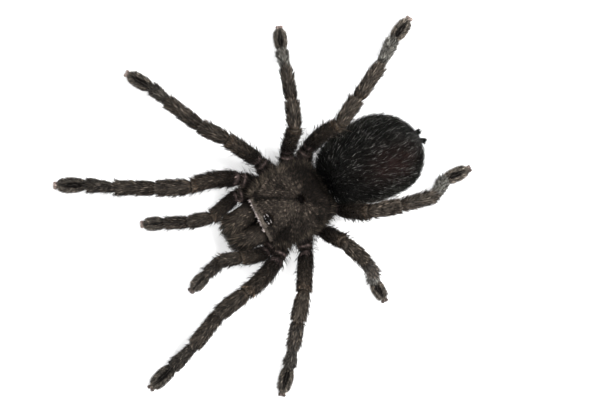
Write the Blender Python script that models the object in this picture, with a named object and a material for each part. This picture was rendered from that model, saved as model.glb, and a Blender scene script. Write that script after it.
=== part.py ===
"""Brazilian black tarantula, life size, standing still on its eight feet.

The head points to -Y, the animal's left is +X and the floor is z = 0. Every limb is a chain of
segments laid out from the hip by headings and pitches, and each segment is its own object.
"""

import math
import random

import bmesh
import bpy
from mathutils import Vector
from mathutils.bvhtree import BVHTree

# Sizes are in millimetres and angles in degrees. MM turns millimetres into metres.
MM = 0.001
GAP = 0.3
WELD = 0.02
SEED = 7

# Centre of the carapace on the floor plan. It sets the origin under the middle of the leg span.
BODY_X = 5.95
BODY_Y = 3.48

# Carapace: a rounded shield, cut straight across at the front.
CARAPACE_HALF_WIDTH = 11.6
CARAPACE_FRONT = 12.0
CARAPACE_REAR = 12.1
CARAPACE_FRONT_TAPER = 16.0
CARAPACE_FRONT_HALF_WIDTH = 8.25
CARAPACE_BASE_Z = 10.8
CARAPACE_EDGE = 0.9
CARAPACE_DOME = 3.7
HEAD_RISE = 1.5
HEAD_HALF_WIDTH = 6.6
GROOVE_DEPTH = 0.35
FOVEA = (0.4, 3.2)
FOVEA_DEPTH = 1.1
FOVEA_WIDTH = 1.5
CARAPACE_SECTORS = 36
CARAPACE_RINGS = (0.11, 0.26, 0.42, 0.58, 0.74, 0.88, 1.0)

# Eye mound: a low oval mound in a round seat near the front edge.
MOUND_CENTRE = (0.5, -9.3)
MOUND_RADIUS = 1.95
MOUND_SEAT_Z = 15.0
MOUND_HEIGHT = 2.1
MOUND_SIDES = 14
MOUND_SQUASH = 0.8
# Each eye of one side: distance from the middle, distance along the body, radius.
EYES = ((0.55, -1.05, 0.42), (1.35, -0.75, 0.42), (0.62, 0.35, 0.34), (1.3, 0.2, 0.34))

# Underbody: the wall below the carapace, the breastplate and the hips.
UNDERBODY_TOP = CARAPACE_BASE_Z - GAP
BREASTPLATE_Z = 4.9
COXA_RADIUS = 2.6
COXA_INNER_REACH = 0.3
COXA_INNER_Z = 7.4
UNDERBODY_SIDES = 28
# Height and how far in from the carapace's edge, from the top of the wall to the breastplate.
UNDERBODY_LEVELS = ((UNDERBODY_TOP, 1.4), (7.4, 1.7), (6.0, 4.0), (BREASTPLATE_Z, 6.6))

# Abdomen: an egg, widest behind its middle, swung a little to the animal's left.
ABDOMEN_FRONT_Y = 13.0
ABDOMEN_WIDEST_Y = 32.9
ABDOMEN_REAR_Y = 45.6
ABDOMEN_HALF_WIDTH = 13.1
ABDOMEN_HALF_HEIGHT = 10.2
ABDOMEN_CENTRE_Z = 12.6
ABDOMEN_SWING = 4.0
ABDOMEN_SIDES = 24
ABDOMEN_RINGS = 14
PEDICEL_Z = 8.6
PEDICEL_SIDES = 10
# Distance behind the carapace's centre, and radius.
PEDICEL_PROFILE = ((11.0, 1.4), (12.4, 1.4), (14.4, 1.7), (18.0, 2.2))
PEDICEL_RISE = 0.12

# Spinnerets, chelicerae and fangs.
SPINNERET_ROOT = 0.86
SPINNERET_SPREAD = 12
SPINNERET_RADIUS = 0.95
SPINNERET_TAPER = (1.0, 1.02, 0.84, 0.9, 0.74, 0.7, 0.34)
CHELICERA_LENGTH = 10.8
CHELICERA_SHIFT = -0.7
CHELICERA_HALF_WIDTH = 3.55
CHELICERA_HALF_HEIGHT = 4.1
CHELICERA_Z = 11.1
CHELICERA_DROP = 3.4
CHELICERA_SIDES = 14
CHELICERA_PROFILE = (
    (0.0, 0.95, 0.9), (0.15, 1.0, 1.0), (0.45, 0.96, 1.0), (0.72, 0.86, 0.95), (0.91, 0.72, 0.78),
    (1.0, 0.5, 0.46),
)
FANG_HINGE = 0.88
FANG_LENGTH = 8.0
FANG_RADIUS = 0.95
FANG_STEPS = 7

# Limbs. Segment lengths run from the hip outwards.
LEG_SEGMENTS = ("femur", "patella", "tibia", "metatarsus", "tarsus")
PALP_SEGMENTS = ("femur", "patella", "tibia", "tarsus")
SEGMENT_LENGTHS = {
    "leg_1": (18.4, 11.7, 14.8, 12.7, 10.4),
    "leg_2": (16.9, 10.3, 14.5, 12.1, 9.8),
    "leg_3": (15.1, 9.8, 11.7, 12.8, 7.8),
    "leg_4": (18.8, 10.0, 14.3, 16.6, 9.2),
    "palp": (11.7, 8.6, 9.6, 8.1),
}
LIMB_GIRTH = {"leg_1": 1.0, "leg_2": 0.93, "leg_3": 0.87, "leg_4": 0.92, "palp": 0.93}
FOOT_Z = {"leg": (2.45, 1.15), "palp": (3.2, 0.95)}

# Hip (x, y from the carapace centre, z), heading of each segment on the floor plan, and the pitch
# of the first ones. The last segment before the foot takes the pitch that reaches the floor.
POSE = {
    "leg_right_1": ((-15.6, -10.7, 8.0), (-111, -118, -122, -126, -120), (30, -12, -19)),
    "leg_right_2": ((-17.2, -2.3, 8.0), (-155, -147, -158, -160, -151), (43, -18, -19)),
    "leg_right_3": ((-15.2, 6.9, 8.0), (129, 156, 159, 163, 155), (58, -21, -22)),
    "leg_right_4": ((-12.8, 13.1, 8.0), (95, 115, 115, 122, 113), (45, -8, -19)),
    "leg_left_1": ((13.2, -13.0, 8.2), (-74, -82, -69, -75, -77), (34, -17, -22)),
    "leg_left_2": ((15.8, -4.0, 8.0), (-34, -42, -41, -42, -45), (38, 27, -50)),
    "leg_left_3": ((13.2, 3.9, 8.0), (34, 17, 5, -26, -1), (60, 24, -63)),
    "leg_left_4": ((8.9, 11.7, 8.0), (54, 70, 74, 112, 84), (55, 12, -34.5)),
    "palp_right": ((-11.5, -14.3, 7.3), (-79, -108, -118, -118), (22, -26)),
    "palp_left": ((9.5, -15.0, 7.3), (-108, -111, -78, -74), (42, -37)),
}
# Sideways bow of each femur, positive to the left of its heading.
FEMUR_BOW = {
    "leg_right_1": -1.1,
    "leg_right_4": 0.7,
    "leg_left_1": 0.8,
    "leg_left_4": -0.6,
    "palp_left": 0.7,
}

# Half width and half height of each segment, and how they vary from its near end to its far end
# as (share of the length, share of the width, share of the height).
SEGMENT_GIRTH = {
    "femur": (2.65, 2.95),
    "patella": (2.35, 2.55),
    "tibia": (2.15, 2.25),
    "metatarsus": (2.05, 1.85),
    "tarsus": (2.2, 1.75),
}
PROFILES = {
    "femur": (
        (0.0, 0.74, 0.72), (0.12, 0.93, 0.92), (0.4, 1.0, 1.0), (0.72, 0.98, 0.97),
        (0.93, 0.88, 0.88), (1.0, 0.74, 0.74),
    ),
    "patella": (
        (0.0, 0.8, 0.78), (0.14, 0.96, 0.95), (0.5, 1.0, 1.0), (0.86, 0.97, 0.95),
        (1.0, 0.82, 0.82),
    ),
    "tibia": (
        (0.0, 0.82, 0.82), (0.12, 0.97, 0.97), (0.45, 1.0, 1.0), (0.8, 0.97, 0.98),
        (0.94, 0.9, 0.92), (1.0, 0.74, 0.76),
    ),
    "metatarsus": (
        (0.0, 0.62, 0.84), (0.15, 0.7, 0.92), (0.45, 0.82, 0.94), (0.75, 1.02, 0.98),
        (0.92, 0.96, 0.94), (1.0, 0.7, 0.86),
    ),
    "tarsus": (
        (0.0, 0.66, 0.86), (0.14, 0.88, 0.98), (0.42, 1.04, 1.02), (0.66, 1.0, 0.98),
        (0.88, 0.74, 0.82), (1.0, 0.46, 0.55),
    ),
}
LIMB_SIDES = 10
COXA_SIDES = 8

# Locks: flat, tapered blades, three-sided in section, that stand for the bristles. Each kind of
# segment has rows of them: rows, locks in a row, length, width, and how far the tips stand off on
# top. At the sides and below they stand off by a share of that.
LOCK_THICKNESS = 0.6
SIDE_STAND = 0.48
LOCK_SINK = 0.55
LOCK_CLEARANCE = 0.45
SEGMENT_LOCKS = {
    "femur": (2, 4, 6.0, 2.2, 2.0),
    "patella": (1, 4, 5.4, 2.2, 2.6),
    "tibia": (2, 3, 5.8, 2.2, 1.9),
    "metatarsus": (1, 3, 5.2, 1.8, 1.6),
}
ABDOMEN_LOCK_ROWS = 10
ABDOMEN_LOCK_SPACING = 7.3
ABDOMEN_LOCK = (6.2, 2.9, 1.3)
FRINGE_LOCKS = 26
FRINGE_LOCK = (2.4, 1.7)
JAW_LOCK = (4.6, 1.5, 1.3)

# Colours (linear RGB), with roughness, of the coat and of the bare parts.
FINISHES = {
    "leg_coat": ((0.030, 0.024, 0.020), 0.75),
    "abdomen_coat": ((0.010, 0.009, 0.009), 0.7),
    "carapace_coat": ((0.046, 0.035, 0.028), 0.7),
    "bare_cuticle": ((0.008, 0.006, 0.006), 0.2),
}


def direction(heading, pitch):
    """Unit vector at this heading on the floor plan, raised by the pitch."""
    turn, rise = math.radians(heading), math.radians(pitch)
    return Vector((math.cos(turn) * math.cos(rise), math.sin(turn) * math.cos(rise), math.sin(rise)))


def body_point(x, y, z):
    """A point given from the centre of the carapace, in the part's frame."""
    return Vector((BODY_X + x, BODY_Y + y, z))


class Solid:
    """A closed mesh in millimetres, as points and faces, with the name and finish of its node."""

    def __init__(self, name, finish, points, faces):
        self.name = name
        self.finish = finish
        self.points = [Vector(p) for p in points]
        self.faces = faces

    def bmesh(self):
        made = bmesh.new()
        corners = [made.verts.new(p * MM) for p in self.points]
        for face in self.faces:
            made.faces.new([corners[i] for i in face])
        bmesh.ops.recalc_face_normals(made, faces=made.faces)
        return made

    def probes(self):
        """Points over the part of a lock that stands clear of its root."""
        spots = []
        tip = self.points[-1]
        for low, high in zip(self.points[:3], self.points[3:6]):
            spots += [low.lerp(high, share) for share in (0.25, 0.5, 0.75, 1.0)]
            spots += [high.lerp(tip, share) for share in (0.33, 0.66)]
        return spots + [tip]


def lofted(rings, close_start=True):
    """Points and faces of a tube through rings of equal length, closed at its ends."""
    sides = len(rings[0])
    points = [p for ring in rings for p in ring]
    faces = []
    for r in range(len(rings) - 1):
        for k in range(sides):
            after = (k + 1) % sides
            a, b = r * sides, (r + 1) * sides
            faces.append((a + k, a + after, b + after, b + k))
    if close_start:
        faces.append(tuple(reversed(range(sides))))
    last = (len(rings) - 1) * sides
    faces.append(tuple(range(last, last + sides)))
    return points, faces


def profile_at(profile, share):
    """Width and height shares of a profile at this share of the length."""
    for (s0, w0, h0), (s1, w1, h1) in zip(profile, profile[1:]):
        if share <= s1:
            t = (share - s0) / (s1 - s0)
            return w0 + (w1 - w0) * t, h0 + (h1 - h0) * t
    return profile[-1][1:]


class Segment:
    """One limb segment, swept between the two planes that it shares with its neighbours."""

    def __init__(self, name, kind, start, end, heading, planes, girth, bow=0.0):
        self.name, self.kind = name, kind
        self.start, self.end = start, end
        self.start_normal, self.end_normal = planes
        self.axis = (end - start).normalized()
        turn = math.radians(heading)
        self.side = Vector((-math.sin(turn), math.cos(turn), 0.0))
        self.dorsal = self.axis.cross(self.side)
        self.half_width, self.half_height = (girth * size for size in SEGMENT_GIRTH[kind])
        self.bow = bow

    def point(self, share, angle):
        """The surface point at this share of the length and this angle round the axis."""
        wide, tall = profile_at(PROFILES[self.kind], share)
        across = self.side * math.cos(angle) * self.half_width * wide
        across += self.dorsal * math.sin(angle) * self.half_height * tall
        near = (GAP / 2 - across.dot(self.start_normal)) / self.axis.dot(self.start_normal)
        length = (self.end - self.start).length
        far = length + (-GAP / 2 - across.dot(self.end_normal)) / self.axis.dot(self.end_normal)
        bowed = self.side * self.bow * 4 * share * (1 - share)
        spot = self.start + across + self.axis * (near + (far - near) * share) + bowed
        return Vector((spot.x, spot.y, max(spot.z, 0.0)))

    def normal(self, share, angle):
        """Outward unit vector of the surface, square to the axis."""
        across = self.side * math.cos(angle) / self.half_width
        return (across + self.dorsal * math.sin(angle) / self.half_height).normalized()

    def held_inside(self, spot, spare):
        """The point moved along the axis until it is clear of both end planes, and off the floor."""
        margin = GAP / 2 + spare
        past = (spot - self.end).dot(self.end_normal) + margin
        if past > 0:
            spot = spot - self.axis * (past / self.axis.dot(self.end_normal))
        short = margin - (spot - self.start).dot(self.start_normal)
        if short > 0:
            spot = spot + self.axis * (short / self.axis.dot(self.start_normal))
        return Vector((spot.x, spot.y, max(spot.z, GAP)))

    def solid(self):
        turns = [2 * math.pi * k / LIMB_SIDES for k in range(LIMB_SIDES)]
        rings = [[self.point(share, turn) for turn in turns] for share, _, _ in PROFILES[self.kind]]
        return Solid(self.name, "leg_coat", *lofted(rings))

    def locks(self):
        """Rows of locks along the segment, in step with its lie from near end to far end."""
        if self.kind not in SEGMENT_LOCKS:
            return []
        rows, around, length, width, stand = SEGMENT_LOCKS[self.kind]
        reach = min(length / (self.end - self.start).length, 0.62)
        made = []
        for row in range(rows):
            for k in range(around):
                share = 0.07 + (0.9 - reach) * (row + 0.5 * (k % 2) + 0.3 * random.random()) / rows
                angle = math.radians(360 * (k + 0.5 * (row % 2)) / around + random.uniform(-9, 9))
                long = reach * random.uniform(0.85, 1.1)
                out = self.normal(share, angle)
                drift = angle + random.uniform(-0.12, 0.12)
                rise = stand * (SIDE_STAND + (1 - SIDE_STAND) * max(0.0, math.sin(angle)))
                root = self.held_inside(self.point(share, angle), width * 0.45)
                middle = self.point(min(share + long * 0.5, 1.0), drift) + out * rise * 0.62
                middle = self.held_inside(middle, width * 0.4)
                tip = self.point(min(share + long, 1.0), drift) + out * rise
                made.append(lock(root, middle, self.held_inside(tip, 0.2), out, width))
        return made


def limb_joints(name):
    """The joints of a limb from hip to toe, with the heading of each segment."""
    hip, headings, pitches = POSE[name]
    kind = "palp" if name.startswith("palp") else "leg_" + name[-1]
    lengths = SEGMENT_LENGTHS[kind]
    joints = [body_point(*hip)]
    for length, heading, pitch in zip(lengths, headings, pitches):
        joints.append(joints[-1] + direction(heading, pitch) * length)
    for length, heading, height in zip(lengths[-2:], headings[-2:], FOOT_Z[kind[:4].rstrip("_")]):
        drop = math.degrees(math.asin((height * LIMB_GIRTH[kind] - joints[-1].z) / length))
        joints.append(joints[-1] + direction(heading, drop) * length)
    return joints, headings, kind


def coxa_direction(name):
    """Direction in which a hip leaves the body, nearly level."""
    hip = POSE[name][0]
    return Vector((hip[0], hip[1] * 0.9, 0.0)).normalized()


def limb_segments(name):
    """The segments of one limb, cut by the planes that halve each bend."""
    joints, headings, kind = limb_joints(name)
    names = PALP_SEGMENTS if kind == "palp" else LEG_SEGMENTS
    ways = [(b - a).normalized() for a, b in zip(joints, joints[1:])]
    planes = [(coxa_direction(name) + ways[0]).normalized()]
    planes += [(a + b).normalized() for a, b in zip(ways, ways[1:])]
    planes.append(ways[-1])
    made = []
    for i, part in enumerate(names):
        bow = FEMUR_BOW.get(name, 0.0) if part == "femur" else 0.0
        made.append(
            Segment(
                f"{name}_{part}", part, joints[i], joints[i + 1], headings[i],
                (planes[i], planes[i + 1]), LIMB_GIRTH[kind], bow,
            )
        )
    return made


def lock(root, middle, tip, out, width):
    """A flat blade that rises from its sunk root, bends over the middle and ends in a point."""
    side = (tip - root).cross(out).normalized() * (width / 2)
    sunk = root - out * LOCK_SINK
    points = []
    for spot, share in ((sunk, 1.0), (middle, 0.82)):
        under = spot - out * LOCK_THICKNESS * 0.45
        points += [under + side * share, under - side * share, spot + out * LOCK_THICKNESS * 0.55]
    points.append(tip)
    faces = [(0, 1, 2), (0, 3, 4), (0, 4, 1), (1, 4, 5), (1, 5, 2), (2, 5, 3), (2, 3, 0)]
    faces += [(3, 6, 4), (4, 6, 5), (5, 6, 3)]
    return Solid("lock", "leg_coat", points, faces)


def outline_reach(x, y):
    """How far out a point lies on the carapace's plan: 1 on the edge of the untrimmed shield."""
    across = abs(x) / CARAPACE_HALF_WIDTH
    if y < 0:
        return (across**2.2 + (-y / CARAPACE_FRONT_TAPER) ** 2.2) ** (1 / 2.2)
    return (across**3 + (y / CARAPACE_REAR) ** 3) ** (1 / 3)


def edge_point(angle, inset=0.0):
    """The carapace's edge on the ray that leaves the fovea at this angle, as x and y."""
    way = (math.cos(angle), math.sin(angle))
    low, high = 0.0, 30.0
    for _ in range(40):
        mid = (low + high) / 2
        x, y = FOVEA[0] + way[0] * mid, FOVEA[1] + way[1] * mid
        inside = outline_reach(x, y) < 1 and y > -CARAPACE_FRONT
        low, high = (mid, high) if inside else (low, mid)
    return FOVEA[0] + way[0] * (low - inset), FOVEA[1] + way[1] * (low - inset)


def carapace_height(x, y):
    """Height of the carapace above its flat underside."""
    reach = min(outline_reach(x, y), 1.0)
    dome = CARAPACE_DOME * (1 - reach**2.2) ** 0.6
    forward = max(0.0, min(1.0, (FOVEA[1] - y) / 6.0))
    half = HEAD_HALF_WIDTH * (0.35 + 0.65 * max(0.0, min(1.0, (FOVEA[1] - y) / 12.0)))
    off_head = abs(x - FOVEA[0] * 0.5) / half
    head = HEAD_RISE * forward * math.exp(-(off_head**3.2))
    groove = GROOVE_DEPTH * forward * math.exp(-(((off_head - 1.15) / 0.25) ** 2))
    round_fovea = math.hypot(x - FOVEA[0], y - FOVEA[1])
    pit = FOVEA_DEPTH * math.exp(-((round_fovea / (FOVEA_WIDTH * 0.5)) ** 2))
    return CARAPACE_EDGE + dome + head - groove - pit


def carapace_solid():
    """The shield: a domed top over rays from the fovea, an upright edge and a flat underside."""
    angles = [2 * math.pi * (k + 0.5) / CARAPACE_SECTORS for k in range(CARAPACE_SECTORS)]
    for corner_x in (-CARAPACE_FRONT_HALF_WIDTH, CARAPACE_FRONT_HALF_WIDTH):
        corner = math.atan2(-CARAPACE_FRONT - FOVEA[1], corner_x - FOVEA[0])
        nearest = min(range(len(angles)), key=lambda k: abs(math.remainder(angles[k] - corner, math.tau)))
        angles[nearest] = corner % math.tau
    rings = []
    for share in CARAPACE_RINGS:
        ring = []
        for angle in angles:
            edge = edge_point(angle)
            x = FOVEA[0] + (edge[0] - FOVEA[0]) * share
            y = FOVEA[1] + (edge[1] - FOVEA[1]) * share
            ring.append(body_point(x, y, CARAPACE_BASE_Z + carapace_height(x, y)))
        rings.append(ring)
    rings.append([Vector((p.x, p.y, CARAPACE_BASE_Z)) for p in rings[-1]])
    points, faces = lofted(rings, close_start=False)
    centre = len(points)
    points.append(body_point(*FOVEA, CARAPACE_BASE_Z + carapace_height(*FOVEA)))
    sides = len(angles)
    faces += [(centre, (k + 1) % sides, k) for k in range(sides)]
    return Solid("carapace", "carapace_coat", points, faces)


def ball(centre, radius, sides=8, rings=3):
    """Points and faces of a ball, with its poles up and down."""
    points = [centre + Vector((0, 0, radius)), centre - Vector((0, 0, radius))]
    for r in range(1, rings):
        tilt = math.pi * r / rings
        for k in range(sides):
            turn = 2 * math.pi * k / sides
            level = math.sin(tilt)
            way = Vector((math.cos(turn) * level, math.sin(turn) * level, math.cos(tilt)))
            points.append(centre + way * radius)
    faces = []
    for k in range(sides):
        after = (k + 1) % sides
        faces.append((0, 2 + k, 2 + after))
        last = 2 + (rings - 2) * sides
        faces.append((1, last + after, last + k))
        for r in range(rings - 2):
            a, b = 2 + r * sides, 2 + (r + 1) * sides
            faces.append((a + k, b + k, b + after, a + after))
    return points, faces


def eye_mound_solids():
    """The mound, and the eight eyes that are joined to it."""
    centre = body_point(*MOUND_CENTRE, MOUND_SEAT_Z + GAP)
    rings = []
    for rise, reach in ((0.0, 1.0), (0.45, 0.97), (0.75, 0.82), (0.95, 0.5), (1.0, 0.2)):
        ring = []
        for k in range(MOUND_SIDES):
            turn = 2 * math.pi * k / MOUND_SIDES
            across = Vector((math.cos(turn), MOUND_SQUASH * math.sin(turn), 0.0)) * MOUND_RADIUS * reach
            ring.append(centre + across + Vector((0, 0, MOUND_HEIGHT * rise)))
        rings.append(ring)
    mound = Solid("eye_mound", "bare_cuticle", *lofted(rings))
    eyes = []
    for side in (-1, 1):
        for x, y, radius in EYES:
            lift = MOUND_HEIGHT * (0.82 if x > 1 else 1.0) - 0.12
            spot = centre + Vector((side * x, y * 0.95, lift - abs(y) * 0.25))
            eyes.append(Solid("eye", "bare_cuticle", *ball(spot, radius)))
    return mound, eyes


def coxa_solid(name):
    """A hip: the coxa from beside the breastplate, a groove, then the short trochanter."""
    hip = body_point(*POSE[name][0])
    way = coxa_direction(name)
    root = body_point(0, 0, COXA_INNER_Z)
    root += Vector((hip.x - root.x, hip.y - root.y, 0.0)) * COXA_INNER_REACH
    femur_way = limb_segments(name)[0].axis
    plane = (way + femur_way).normalized()
    side = Vector((-way.y, way.x, 0.0))
    girth = LIMB_GIRTH["palp"] if name.startswith("palp") else LIMB_GIRTH["leg_" + name[-1]]
    first, last = SEGMENT_GIRTH["femur"][0] * 0.74 * girth, SEGMENT_GIRTH["femur"][1] * 0.72 * girth
    shape = (
        (0.0, COXA_RADIUS, COXA_RADIUS), (0.55, COXA_RADIUS, COXA_RADIUS),
        (0.7, COXA_RADIUS * 0.84, COXA_RADIUS * 0.84), (0.84, COXA_RADIUS * 0.95, COXA_RADIUS * 0.95),
        (1.0, first, last),
    )
    rings = []
    for share, half_width, half_height in shape:
        ring = []
        for k in range(COXA_SIDES):
            turn = 2 * math.pi * k / COXA_SIDES
            spot = root.lerp(hip, share) + side * math.cos(turn) * half_width * girth ** 0.5
            spot += Vector((0, 0, math.sin(turn) * half_height))
            if share == 1.0:
                across = spot - hip
                spot = hip + across + way * ((-GAP / 2 - across.dot(plane)) / way.dot(plane))
            ring.append(Vector((spot.x, spot.y, min(spot.z, UNDERBODY_TOP))))
        rings.append(ring)
    return Solid(name + "_coxa", "leg_coat", *lofted(rings))


def underbody_core():
    """The wall under the carapace, drawn in towards the breastplate."""
    rings = []
    for z, inset in UNDERBODY_LEVELS:
        ring = []
        for k in range(UNDERBODY_SIDES):
            x, y = edge_point(2 * math.pi * (k + 0.5) / UNDERBODY_SIDES, inset)
            front = CARAPACE_FRONT if z > 6 else CARAPACE_FRONT - 3.5
            ring.append(body_point(x, max(y - (1.4 if y < -8 else 0.0), -front), z))
        rings.append(ring)
    return Solid("underbody", "leg_coat", *lofted(rings))


def abdomen_axis(y):
    """Centre of the abdomen at this distance behind the carapace's centre."""
    swing = math.tan(math.radians(ABDOMEN_SWING)) * (y - ABDOMEN_FRONT_Y)
    return body_point(swing, y, ABDOMEN_CENTRE_Z)


def abdomen_point(share, angle):
    """Surface of the abdomen: share runs from the front end (0) to the rear end (1)."""
    y = ABDOMEN_FRONT_Y + (ABDOMEN_REAR_Y - ABDOMEN_FRONT_Y) * (1 - math.cos(math.pi * share)) / 2
    if y < ABDOMEN_WIDEST_Y:
        away = (ABDOMEN_WIDEST_Y - y) / (ABDOMEN_WIDEST_Y - ABDOMEN_FRONT_Y)
        size = max(0.0, 1 - away**2.4) ** (1 / 2.4)
    else:
        away = (y - ABDOMEN_WIDEST_Y) / (ABDOMEN_REAR_Y - ABDOMEN_WIDEST_Y)
        size = max(0.0, 1 - away**2) ** 0.5
    level = math.sin(angle)
    flatten = 1.0 if level > 0 else 0.93
    across = Vector((math.cos(angle) * ABDOMEN_HALF_WIDTH * size, 0.0, 0.0))
    rise = Vector((0.0, 0.0, level * ABDOMEN_HALF_HEIGHT * flatten * size))
    return abdomen_axis(y) + across + rise


def abdomen_normal(share, angle):
    """Outward unit vector of the abdomen's surface."""
    along = abdomen_point(share + 0.01, angle) - abdomen_point(share - 0.01, angle)
    around = abdomen_point(share, angle + 0.02) - abdomen_point(share, angle - 0.02)
    return along.cross(around).normalized()


def abdomen_solids():
    """The abdomen, and the short stalk that carries it."""
    turns = [2 * math.pi * k / ABDOMEN_SIDES for k in range(ABDOMEN_SIDES)]
    shares = [0.045] + [(r + 1) / ABDOMEN_RINGS for r in range(ABDOMEN_RINGS - 1)] + [0.965]
    rings = [[abdomen_point(share, turn) for turn in turns] for share in shares]
    body = Solid("abdomen", "abdomen_coat", *lofted(rings))
    stalk = []
    for y, radius in PEDICEL_PROFILE:
        centre = body_point(0.0, y, PEDICEL_Z + (y - PEDICEL_PROFILE[0][0]) * PEDICEL_RISE)
        turns = [2 * math.pi * k / PEDICEL_SIDES for k in range(PEDICEL_SIDES)]
        stalk.append([centre + Vector((math.cos(t), 0.0, math.sin(t))) * radius for t in turns])
    return body, Solid("stalk", "abdomen_coat", *lofted(stalk))


def abdomen_locks():
    """Rows of locks that run back over the abdomen towards the spinnerets."""
    length, width, stand = ABDOMEN_LOCK
    made = []
    for row in range(ABDOMEN_LOCK_ROWS):
        share = 0.13 + 0.76 * row / (ABDOMEN_LOCK_ROWS - 1)
        widest = abdomen_point(share, 0)
        girth = 2 * math.pi * (widest - abdomen_axis(widest.y - BODY_Y)).length
        around = max(5, round(girth / ABDOMEN_LOCK_SPACING))
        step = (abdomen_point(share + 0.02, 0.8) - abdomen_point(share, 0.8)).length / 0.02
        for k in range(around):
            angle = 2 * math.pi * (k + 0.5 * (row % 2) + random.uniform(-0.16, 0.16)) / around
            start = share + random.uniform(-0.015, 0.015)
            reach = min(length * random.uniform(0.85, 1.15) / step, 0.985 - start)
            drift = angle + random.uniform(-0.05, 0.05)
            out = abdomen_normal(start, angle)
            middle = abdomen_point(start + reach * 0.5, drift) + out * stand * 0.6
            tip = abdomen_point(start + reach, drift) + out * stand
            made.append(lock(abdomen_point(start, angle), middle, tip, out, width))
    return made


def fringe_locks():
    """Locks that stand out from the carapace's edge, all round but for the front."""
    length, width = FRINGE_LOCK
    made = []
    for k in range(FRINGE_LOCKS):
        angle = math.radians(-58 + 296 * (k + random.uniform(-0.2, 0.2)) / (FRINGE_LOCKS - 1))
        way = Vector((math.cos(angle), math.sin(angle), 0.0))
        root = body_point(*edge_point(angle, 0.1), CARAPACE_BASE_Z + CARAPACE_EDGE * 0.5)
        long = length * random.uniform(0.8, 1.2)
        out = Vector((0.0, 0.0, 1.0))
        sunk = root - way * 0.7 + out * (LOCK_SINK + 0.05)
        middle = root + way * long * 0.5 + out * 0.35
        tip = root + way * long + out * 0.25
        made.append(lock(sunk, middle, tip, out, width))
    return made


def jaw_locks(side):
    """Locks that lean forward over the front and top of a chelicera."""
    length, width, stand = JAW_LOCK
    made = []
    for row, share in enumerate((0.22, 0.5, 0.74)):
        for k in range(4):
            angle = math.radians(205 - 230 * (k + 0.5 * (row % 2)) / 4 + random.uniform(-8, 8))
            out = Vector((math.cos(angle), 0.0, math.sin(angle)))
            root = chelicera_point(side, share, angle)
            far = min(share + length / CHELICERA_LENGTH, 1.0)
            middle = chelicera_point(side, (share + far) / 2, angle) + out * stand * 0.6
            tip = chelicera_point(side, far, angle) + out * stand * 0.8 + Vector((0.0, -0.7, -0.3))
            if side * out.x > -0.35:
                made.append(lock(root, middle, tip, out, width))
    return made


def tube(name, finish, path, radii, side, flat=1.0, sides=8):
    """A closed tube along a path, with a radius at each of its points, flattened by flat."""
    rings = []
    for i, (spot, radius) in enumerate(zip(path, radii)):
        ahead = (path[min(i + 1, len(path) - 1)] - path[max(i - 1, 0)]).normalized()
        wide = (side - ahead * side.dot(ahead)).normalized() * radius
        tall = ahead.cross(wide) * flat
        turns = [2 * math.pi * k / sides for k in range(sides)]
        rings.append([spot + wide * math.cos(turn) + tall * math.sin(turn) for turn in turns])
    return Solid(name, finish, *lofted(rings))


def curve(points, steps):
    """Points along a smooth curve that starts at the first point and ends at the last."""
    made = []
    for step in range(steps + 1):
        row = list(points)
        while len(row) > 1:
            row = [a.lerp(b, step / steps) for a, b in zip(row, row[1:])]
        made.append(row[0])
    return made


def spinneret_solid(side):
    """A finger of three joints that leaves the abdomen's underside and curls up behind it."""
    angle = math.radians(-90 + side * SPINNERET_SPREAD)
    root = abdomen_point(SPINNERET_ROOT, angle)
    out = abdomen_normal(SPINNERET_ROOT, angle)
    back = Vector((side * 0.25 + 0.25, 1.0, 0.1))
    start = root + out * (GAP + 0.05)
    bends = [start, start + out * 2.2, start + out * 2.4 + back * 1.4, start + out * 0.9 + back * 3.2]
    path = curve(bends, len(SPINNERET_TAPER) - 1)
    radii = [SPINNERET_RADIUS * share for share in SPINNERET_TAPER]
    name = f"spinneret_{'left' if side > 0 else 'right'}"
    return tube(name, "abdomen_coat", path, radii, Vector((1, 0, 0)))


def chelicera_axis_z(share):
    return CHELICERA_Z - CHELICERA_DROP * share**1.5


def chelicera_underside(share):
    """Height of a chelicera's underside at this share of its length."""
    return chelicera_axis_z(share) - CHELICERA_HALF_HEIGHT * profile_at(CHELICERA_PROFILE, share)[1]


def chelicera_point(side, share, angle):
    """Surface point of a chelicera at this share of its length and this angle round it."""
    wide, tall = profile_at(CHELICERA_PROFILE, share)
    half_width = CHELICERA_HALF_WIDTH * wide
    x = side * (GAP * 0.6 + half_width) + CHELICERA_SHIFT
    y = -(CARAPACE_FRONT + GAP + CHELICERA_LENGTH * share)
    around = Vector((math.cos(angle) * half_width, 0.0, math.sin(angle) * CHELICERA_HALF_HEIGHT * tall))
    return body_point(x, y, chelicera_axis_z(share)) + around


def chelicera_solid(side):
    """The stout base of a fang, hanging forward from the carapace's front edge."""
    turns = [2 * math.pi * k / CHELICERA_SIDES for k in range(CHELICERA_SIDES)]
    rings = [[chelicera_point(side, share, turn) for turn in turns] for share, _, _ in CHELICERA_PROFILE]
    return Solid(f"chelicera_{'left' if side > 0 else 'right'}", "carapace_coat", *lofted(rings))


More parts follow.
